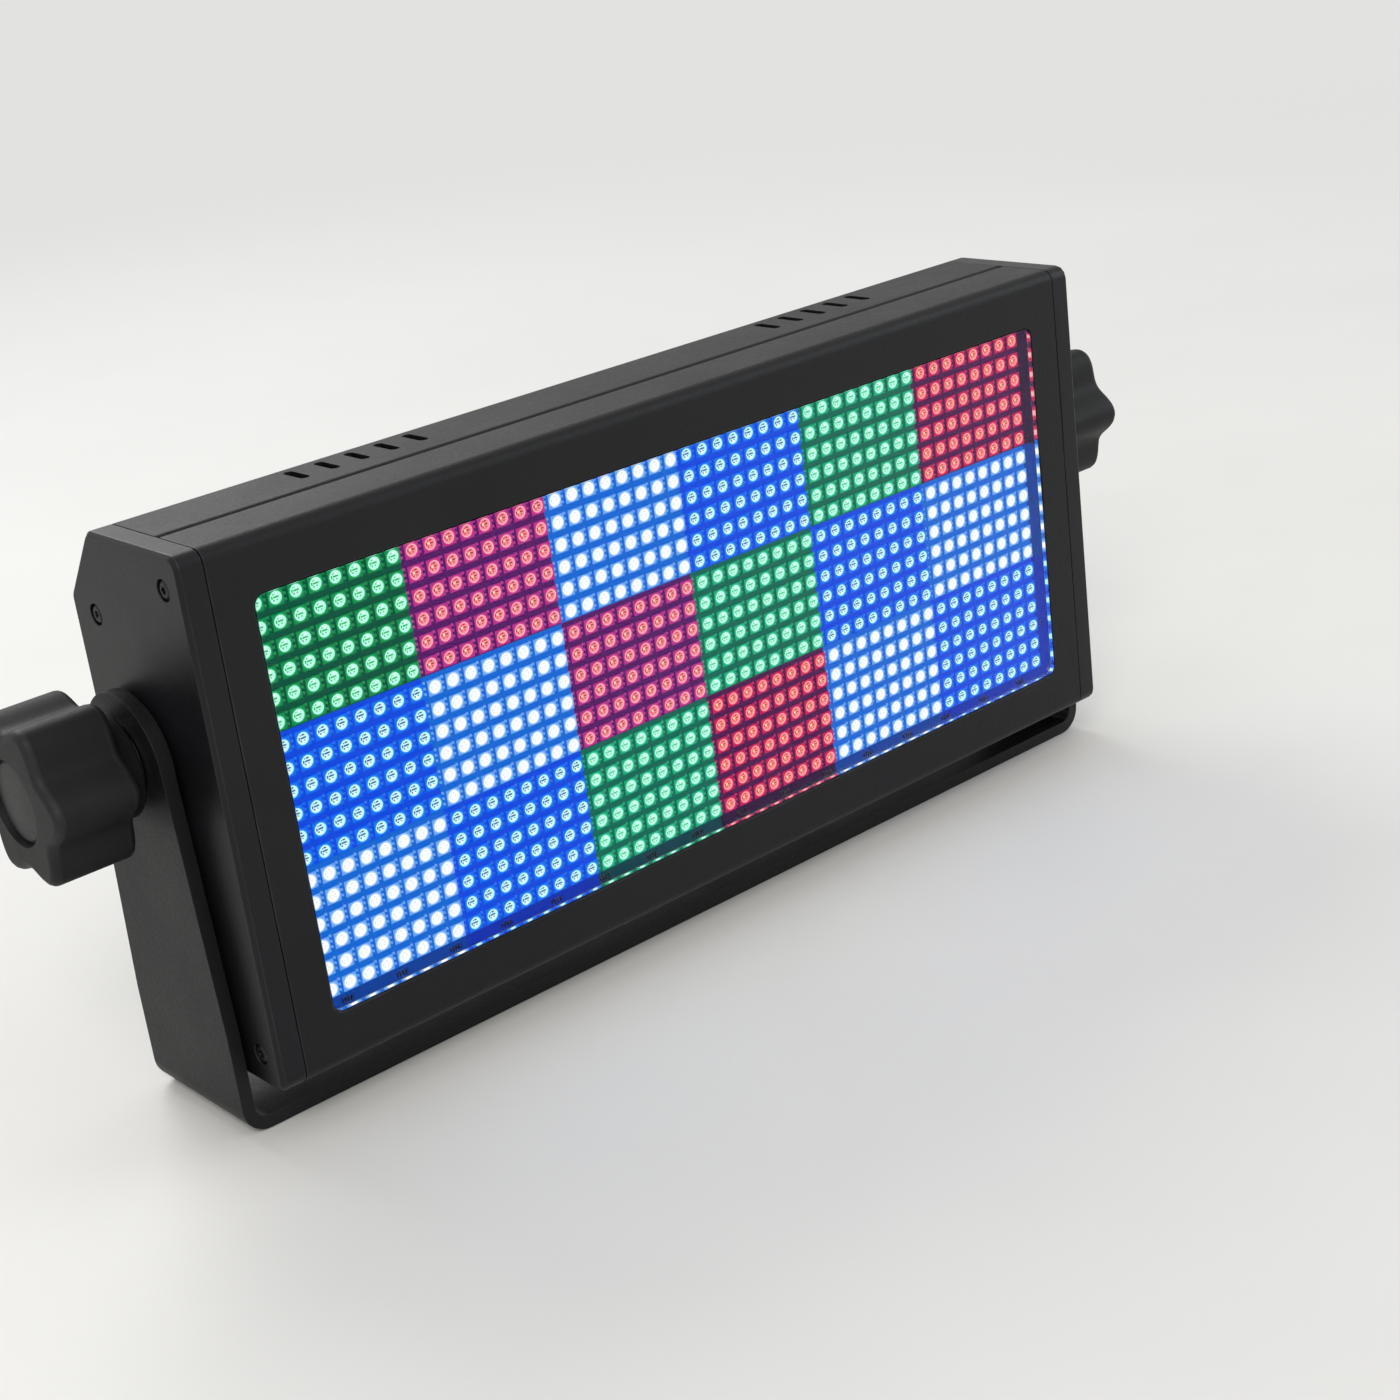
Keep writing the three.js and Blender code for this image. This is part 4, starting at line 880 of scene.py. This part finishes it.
# Fan rotor: a capped hub on its shaft, and seven twisted blades
low, high = box("fan_rotor")
hub, tip, count, depth = 13.0, FAN_BORE - 1.0, 7, 8.5
front, rear = high.y - depth, high.y
capped = [
    (0, front), (hub - 0.8, front), (hub, front + 0.8), (hub, rear - 1.2), (hub - 1.2, rear),
    (0, rear),
]
shaft = [(0, low.y), (1.6, low.y), (1.6, front + 0.5), (0, front + 0.5)]
cover = [(0, rear), (hub - 3.0, rear), (hub - 3.0, rear + 0.12), (0, rear + 0.12)]
parts = [
    (turned(capped, "y", (fan_x, fan_z)), nylon),
    (turned(shaft, "y", (fan_x, fan_z), 20), zinc),
    (turned(cover, "y", (fan_x, fan_z)), filled_display),
]
for i in range(count):
    blade = bmesh.new()
    bmesh.ops.create_grid(blade, x_segments=10, y_segments=8, size=0.5)
    for v in blade.verts:
        along, over = v.co.x + 0.5, v.co.y
        radius = hub - 0.8 + along * (tip - hub + 0.8)
        lean = radians(52 - 18 * along)
        camber = 0.9 * (1 - 4 * over * over)
        out = over * (11.0 - 1.4 * along)
        v.co = (
            radius, (front + rear) / 2 + out * cos(lean) - camber * sin(lean),
            out * sin(lean) + camber * cos(lean),
        )
    bmesh.ops.recalc_face_normals(blade, faces=blade.faces)
    bmesh.ops.solidify(blade, geom=blade.faces[:], thickness=1.0)
    turn = Matrix.Rotation(2 * pi * i / count, 4, "Y")
    place = Matrix.Translation((fan_x, 0, fan_z)) @ turn
    bmesh.ops.transform(blade, matrix=place, verts=blade.verts)
    parts.append((blade, nylon))
assemble("fan_impeller", parts, "fan_rotor", body="fan", sharp=60)

# Menu buttons: turned caps with a shallow dish
for name in buttons:
    low, high = box(name)
    flange, shoulder = (high.x - low.x) / 2, low.y + 1.2
    profile = [
        (0, low.y), (flange, low.y), (flange, shoulder), (BUTTON, shoulder), (BUTTON, high.y),
        (BUTTON - 0.9, high.y), (BUTTON - 1.8, high.y - 0.22), (BUTTON - 3.2, high.y - 0.36),
        (0, high.y - 0.4),
    ]
    cap = eased(turned(profile, "y", middle(name), 40), 0.28, 3, 50)
    assemble(name + "_cap", [(cap, nylon)], name, body=name.replace("menu_", ""))

# Sockets
FLANGE_WIDTH, FLANGE_HEIGHT, FLANGE, FLANGE_CORNER = 26.0, 31.0, 2.0, 3.0
PIN_CIRCLE, PLUG_RADIUS, CORE_RADIUS, PLUG_DEPTH = 4.6, 9.5, 7.9, 13.0


def socket_place(name):
    """A socket's middle on the rear panel, and where its rim lies on Y."""
    return middle(name), box(name)[1].y


def socket_body(name, width, height, outline, *tools):
    """A socket's flange and the body in front of it, cut out by tools."""
    centre, rim = socket_place(name)
    flange = prism(rounded_box(centre, width, height, FLANGE_CORNER, 8), "y", rim - FLANGE, rim)
    body = prism(outline, "y", box(name)[0].y, rim - FLANGE / 2)
    return cut(combined(flange, body, "UNION"), *tools)


def signal_socket(name, width, look, tools, parts):
    """A signal socket with two screws, eased by a width, cut by tools and filled with parts."""
    centre, rim = socket_place(name)
    outline = circle(centre, BARREL, 56)
    body = eased(socket_body(name, FLANGE_WIDTH, FLANGE_HEIGHT, outline, *tools), width)
    screws = [
        screw("y", (centre[0] + side * 9.6, centre[1] - side * 12.2), rim, 1, 2.3, 1.3)
        for side in (-1, 1)
    ]
    assemble(name + "_socket", [(body, look), *parts, *screws], name)


def pin_places(centre, turn=0):
    """Where the three contacts of a signal socket stand."""
    return [around(centre, PIN_CIRCLE, angle + turn) for angle in (150, 30, 270)]


# Signal inlet: its bore with the key way, its floor and its three pins
centre, rim = socket_place("signal_inlet")
x, z = centre
key = block((x - 1.6, rim - 9, z - 10.4), (x + 1.6, rim + 1, z - 8))
bore = prism(circle(centre, PLUG_RADIUS, 56), "y", rim - PLUG_DEPTH, rim + PAST)
floor = [(0, -PLUG_DEPTH), (9.4, -PLUG_DEPTH), (9.4, -12.2), (0, -12.2)]
pin = [(0, -12.5), (1.2, -12.5), (1.2, -1.6), (0.7, -0.7), (0, -0.5)]
parts = [(turned(floor, "y", centre, 40, rim), satin_abs)]
parts += [(turned(pin, "y", place, 20, rim), nickel) for place in pin_places(centre)]
signal_socket("signal_inlet", 0.35, zinc, [combined(bore, key, "UNION")], parts)

# Signal outlet: its ring-shaped slot and contacts, and the ribbed latch button above them
centre, rim = socket_place("signal_outlet")
low, high = box("signal_outlet_latch")
places = pin_places(centre, 180)
tools = [
    cut(
        prism(circle(centre, PLUG_RADIUS, 56), "y", rim - 6, rim + PAST),
        prism(circle(centre, CORE_RADIUS, 56), "y", rim - 7, rim + 2 * PAST),
    ),
    block((low.x - SEAT, rim - 2, low.z - SEAT), (high.x + SEAT, rim + PAST, high.z + SEAT)),
    *[prism(circle(place, 1.3, 20), "y", rim - 8, rim + PAST) for place in places],
]
sleeve = [(0.75, -7.5), (1.25, -7.5), (1.25, -1.2), (0.75, -1.2), (0.75, -7.5)]
parts = [(turned(sleeve, "y", place, 20, rim), nickel) for place in places]
signal_socket("signal_outlet", 0.25, satin_abs, tools, parts)
parts = [(eased(block(low, high), 0.6, 3), zinc)]
for z in (low.z + 0.8, low.z + 1.6, low.z + 2.4):
    rib = block((low.x + 1, high.y - 0.2, z), (high.x - 1, high.y + 0.25, z + 0.4))
    parts.append((eased(rib, 0.12), zinc))
assemble("signal_latch_tab", parts, "signal_outlet_latch", body="latch")


def mains_outline(centre, inset):
    """A mains socket's outline: its two upper corners are cut off."""
    x, z = centre
    half, rise, corner = MAINS_WIDTH / 2 - inset, MAINS_HEIGHT / 2 - inset, MAINS_CORNER
    return [
        (x - half, z - rise), (x + half, z - rise), (x + half, z + rise - corner),
        (x + half - corner, z + rise), (x - half + corner, z + rise), (x - half, z + rise - corner),
    ]


def mains_socket(name, spread):
    """The inlet is a well with three blades, the outlet a raised face with three slots."""
    centre, rim = socket_place(name)
    x, z = centre
    contacts = [(x - spread, z - 2.4), (x, z + 2.4), (x + spread, z - 2.4)]

    def slots():
        return blocks(contacts, 2.2, 5.0, rim - 8, rim + PAST)

    if name == "mains_inlet":
        tools = [prism(mains_outline(centre, 2.4), "y", rim - 15, rim + PAST)]
        blades = blocks(contacts, 2.0, 4.0, rim - 15.5, rim - 2.5)
        parts = [(eased(blade, 0.45), nickel) for blade in blades]
    else:
        tools = slots()
        raised = cut(prism(mains_outline(centre, 2.6), "y", rim - 0.5, rim + 0.6), *slots())
        parts = [(eased(raised, 0.2), nylon)]
        parts += [(clip, nickel) for clip in blocks(contacts, 1.4, 4.4, rim - 7.8, rim - 2.5)]
    body = socket_body(
        name, MAINS_WIDTH + MAINS_LIP, MAINS_HEIGHT + MAINS_LIP, mains_outline(centre, 0), *tools,
    )
    parts.insert(0, (eased(body, 0.4, least=38), nylon))
    assemble(name + "_socket", parts, name)


mains_socket("mains_inlet", 7.0)
mains_socket("mains_outlet", 6.5)

# Fuse holder, and its slotted bayonet cap
low, high = box("fuse_holder")
centre = middle("fuse_cap")
wall, rim, flange_radius = 1.6, high.y, 8.5
bore = FUSE_BARREL - wall
profile = [
    (bore, low.y), (FUSE_BARREL, low.y), (FUSE_BARREL, rim - 2), (flange_radius, rim - 2),
    (flange_radius, rim), (bore, rim), (bore, low.y),
]
holder = eased(turned(profile, "y", centre), 0.3, 2, 50)
assemble("fuse_holder_body", [(holder, nylon)], "fuse_holder")
low, high = box("fuse_cap")
core, seat = bore - SEAT, rim + SEAT
profile = [
    (0, low.y), (core, low.y), (core, seat), (FUSE_BARREL, seat),
    (FUSE_BARREL, high.y - 0.7), (FUSE_BARREL - 0.7, high.y), (0, high.y),
]
slot = blocks([centre], 9.2, 1.4, high.y - 1.6, high.y + 1)
places = circle(centre, FUSE_BARREL + 0.35, 12)
grips = [prism(circle(place, 0.7, 10), "y", seat + 1, high.y - 1.2) for place in places]
cap = eased(cut(turned(profile, "y", centre), *slot, *grips), 0.15, 1, 50)
assemble("fuse_cap_body", [(cap, nylon)], "fuse_cap", body="fuse")

# Safety eye: a bent steel tab with a rounded end, its hole and its screw
low, high = box("safety_eye")
x, width, reach, thickness = (low.x + high.x) / 2, high.x - low.x, high.y - low.y, 2.0
line = [(low.y, high.z), (low.y, low.z, 3.0), (high.y, low.z)]
strip = prism(bent_sheet(line, thickness, 1), "x", low.x, high.x)
outline = rounded_box((x, low.y), width, 2 * reach, width / 2 - 0.01, 16)
tab = combined(strip, prism(outline, "z", low.z - PAST, high.z + PAST), "INTERSECT")
hole = prism(circle((x, high.y - width / 2), 5.5), "z", low.z - PAST, low.z + 2 * PAST)
parts = [
    (eased(cut(tab, hole), 0.35), zinc),
    screw("y", (x, high.z - 6.0), low.y + thickness, 1, 3.0, 1.9),
]
assemble("safety_eye_tab", parts, "safety_eye")

# Display: seven-bar digits, unlit, behind the smoked pane. Each bar lies or stands at a place.
DIGIT_BARS = (
    (0, 6, 0), (0, 0, 0), (0, -6, 0), (-3.2, 3, 1), (3.2, 3, 1), (-3.2, -3, 1), (3.2, -3, 1),
)
DIGIT_PITCH, BAR_REACH, BAR_WIDTH = 11.0, 2.4, 0.55
face = box("display_module")[1].y
straight = BAR_REACH - BAR_WIDTH
outline = [
    (-BAR_REACH, 0), (-straight, -BAR_WIDTH), (straight, -BAR_WIDTH), (BAR_REACH, 0),
    (straight, BAR_WIDTH), (-straight, BAR_WIDTH),
]
bars = []
for digit in range(4):
    x = display_x + (digit - 1.5) * DIGIT_PITCH
    for a, b, stands in DIGIT_BARS:
        # Seen from behind, left and right change places
        points = [
            (x - a + q, display_z + b - p) if stands else (x - a + p, display_z + b + q)
            for p, q in outline
        ]
        bars.append(prism(points, "y", face - 0.05, face + 0.12))
assemble("display_digit_bars", [(gathered(*bars), unlit_bar)])

# Tilt bracket: one strip bent to a U, with rounded arms, a clamp hole and two slots
BRACKET, BRACKET_BEND, ARM_RADIUS = 4.0, 8.0, 20.0
CLAMP_HOLE, SLOT_LENGTH, SLOT_WIDTH, PIVOT_BORE = 6.5, 34.0, 9.0, 4.4
KNOB_RADIUS, KNOB_WAVE = 22.0, 2.5
low, high = box("tilt_bracket")
y = (low.y + high.y) / 2
pivot_z = high.z - ARM_RADIUS
line = [
    (low.x, high.z), (low.x, low.z, BRACKET_BEND), (high.x, low.z, BRACKET_BEND),
    (high.x, high.z),
]
strip = prism(bent_sheet(line, BRACKET, 1, 10), "y", low.y, high.y)
shoulder = 0.3 * pivot_z
form = [(low.y, low.z - PAST), (high.y, low.z - PAST), (high.y, shoulder)]
form += arc((y, pivot_z), ARM_RADIUS, 0, 180, 36) + [(low.y, shoulder)]
u_form = combined(strip, prism(form, "x", low.x - PAST, high.x + PAST), "INTERSECT")
through = (-PAST, BRACKET + PAST)
tools = [prism(circle((0, y), CLAMP_HOLE), "z", *through)]
for side in (-1, 1):
    place = (side * 0.42 * (high.x - BRACKET), y)
    slot = rounded_box(place, SLOT_LENGTH, SLOT_WIDTH, SLOT_WIDTH / 2 - 0.01, 10)
    pivot = circle((y, pivot_z), PIVOT_BORE)
    tools.append(prism(slot, "z", *through))
    tools.append(prism(pivot, "x", side * (high.x + PAST), side * 160.0))
parts = [(eased(cut(u_form, *tools), 0.5), powder_coat)]
assemble("bracket_strip", parts, "tilt_bracket", body="bracket")


def clamp_side(side, hand):
    """A clamp knob with six lobes, and the washers beside it on the pivot axis."""
    low, high = box(hand + "_knob")
    centre = ((low.y + high.y) / 2, (low.z + high.z) / 2)
    start, end = (low.x, high.x) if side > 0 else (high.x, low.x)
    outline = lobed(centre, KNOB_RADIUS, KNOB_WAVE, 120)
    grip = eased(prism(outline, "x", start + side * 6, end), 2.6, 4, 60)
    recess = [(0, -2.0), (12.0, -2.0), (12.6, 1), (0, 1)]
    neck = [(4.6, 0), (14.2, 0), (15.0, 0.8), (15.0, 5.2), (17.0, 7.4), (4.6, 7.4), (4.6, 0)]
    plug = [(0, -2.2), (11.2, -2.2), (11.2, -1.5), (10.6, -1.2), (0, -1.0)]
    parts = [
        (cut(grip, turned(recess, "x", centre, 48, end, side)), nylon),
        (turned(neck, "x", centre, 48, start, side), nylon),
        (turned(plug, "x", centre, 48, end, side), satin_abs),
    ]
    assemble(hand + "_knob_grip", parts, hand + "_knob", body=hand + "_clamp", sharp=50)
    for kind, material in (("friction", rubber), ("steel", zinc)):
        node = "%s_%s_washer" % (hand, kind)
        body = frame["nodes"][node]["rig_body"]
        low, high = box(node)
        bore, outer = PIVOT_BORE, (high.y - low.y) / 2
        ring = [(bore, low.x), (outer, low.x), (outer, high.x), (bore, high.x), (bore, low.x)]
        washer = eased(turned(ring, "x", centre), 0.25, 2, 50)
        assemble(node + "_ring", [(washer, material)], node, body=body)


clamp_side(-1, "left")
clamp_side(1, "right")

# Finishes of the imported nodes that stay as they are
NODE_FINISHES = {
    zinc: "chassis_plate left_knob_stud right_knob_stud",
    brass: "left_pivot_insert right_pivot_insert",
    aluminium: "heatsink supply_cooler",
    green_mask: "display_board supply_board driver_board",
    ferrite: "supply_transformer supply_choke",
    pvc_sleeve: "supply_capacitor_1 supply_capacitor_2",
    moulded_terminal: "supply_terminals",
    nylon: "fan_frame",
    smoked_pane: "display_pane",
    filled_display: "display_module",
}
for material, nodes in NODE_FINISHES.items():
    for node in nodes.split():
        for entry in frame["nodes"][node].material_slots:
            entry.material = material

# Studio: a pale floor that runs into the pale world, and soft lights
BACKDROP, BACKDROP_STRENGTH, WORLD_LIGHT = "#f4f4f3", 0.84, 0.62


def seen_rays(tree):
    """One where a ray shows the background, straight on, in a reflection or through glass."""
    rays = add(tree, "ShaderNodeLightPath").outputs
    seen = reckoned(tree, "MAXIMUM", rays["Is Camera Ray"], rays["Is Glossy Ray"])
    return reckoned(tree, "MAXIMUM", seen, rays["Is Transmission Ray"])


# A painted floor that far from the object turns evenly into the backdrop
material = finish("painted_studio_floor", "#dcdcda", "#e2e2e0", (0.5, 0.6), 3.0, 0.01, 400.0)
tree = material.node_tree
place = add(tree, "ShaderNodeTexCoord").outputs["Object"]
distance = add(tree, "ShaderNodeVectorMath", {0: place}, operation="LENGTH").outputs["Value"]
far = ranged(tree, distance, 0.35, 1.9, interpolation_type="SMOOTHSTEP")
share = reckoned(tree, "MULTIPLY", far, seen_rays(tree))
light = {"Color": linear(BACKDROP), "Strength": BACKDROP_STRENGTH}
even = add(tree, "ShaderNodeEmission", light)
layered(tree, share, tree.nodes["Principled BSDF"].outputs[0], even.outputs[0])
form = bmesh.new()
bmesh.ops.create_grid(form, x_segments=1, y_segments=1, size=6.0)
bmesh.ops.translate(form, vec=(0, 0, -0.0003), verts=form.verts)
mesh = mesh_of(form, "floor")
mesh.materials.append(material)
placed("floor", mesh)


def softbox(name, place, size, power, colour):
    light = bpy.data.lights.new(name, "AREA")
    light.shape, light.size, light.energy = "DISK", size, power
    light.color = linear(colour)[:3]
    lamp = placed(name, light)
    lamp.location = place
    lamp.rotation_mode = "QUATERNION"
    lamp.rotation_quaternion = (Vector((0, 0, 0.09)) - Vector(place)).to_track_quat("-Z", "Y")


softbox("key_softbox", (-1.5, -1.6, 1.9), 1.3, 35.0, "#fffaf4")
softbox("fill_softbox", (1.9, -1.2, 1.2), 1.6, 13.0, "#f4f8ff")
softbox("rear_softbox", (0.2, 1.9, 1.6), 1.5, 25.0, "#ffffff")

world = bpy.data.worlds.new("studio")
scene.world = world
world.use_nodes = True
sky = world.node_tree
feed(sky, sky.nodes["Background"], {
    "Color": linear(BACKDROP),
    "Strength": ranged(sky, seen_rays(sky), 0.0, 1.0, WORLD_LIGHT, BACKDROP_STRENGTH),
})

# Camera at the photograph's angle
RIGHT = Vector((0.74668, -0.65426, -0.12007))
UP = Vector((0.32073, 0.19597, 0.92668))
BACK = Vector((-0.58276, -0.73044, 0.35616))
lens = bpy.data.cameras.new("camera")
lens.lens, lens.sensor_width = 62.37, 36.0
lens.clip_start, lens.clip_end = 0.01, 50.0
camera = placed("camera", lens)
turn = Matrix((RIGHT, UP, BACK)).transposed().to_4x4()
camera.matrix_world = Matrix.Translation((-0.43398, -0.57468, 0.33669)) @ turn
scene.camera = camera
scene.view_settings.view_transform = "Standard"

bpy.context.view_layer.update()
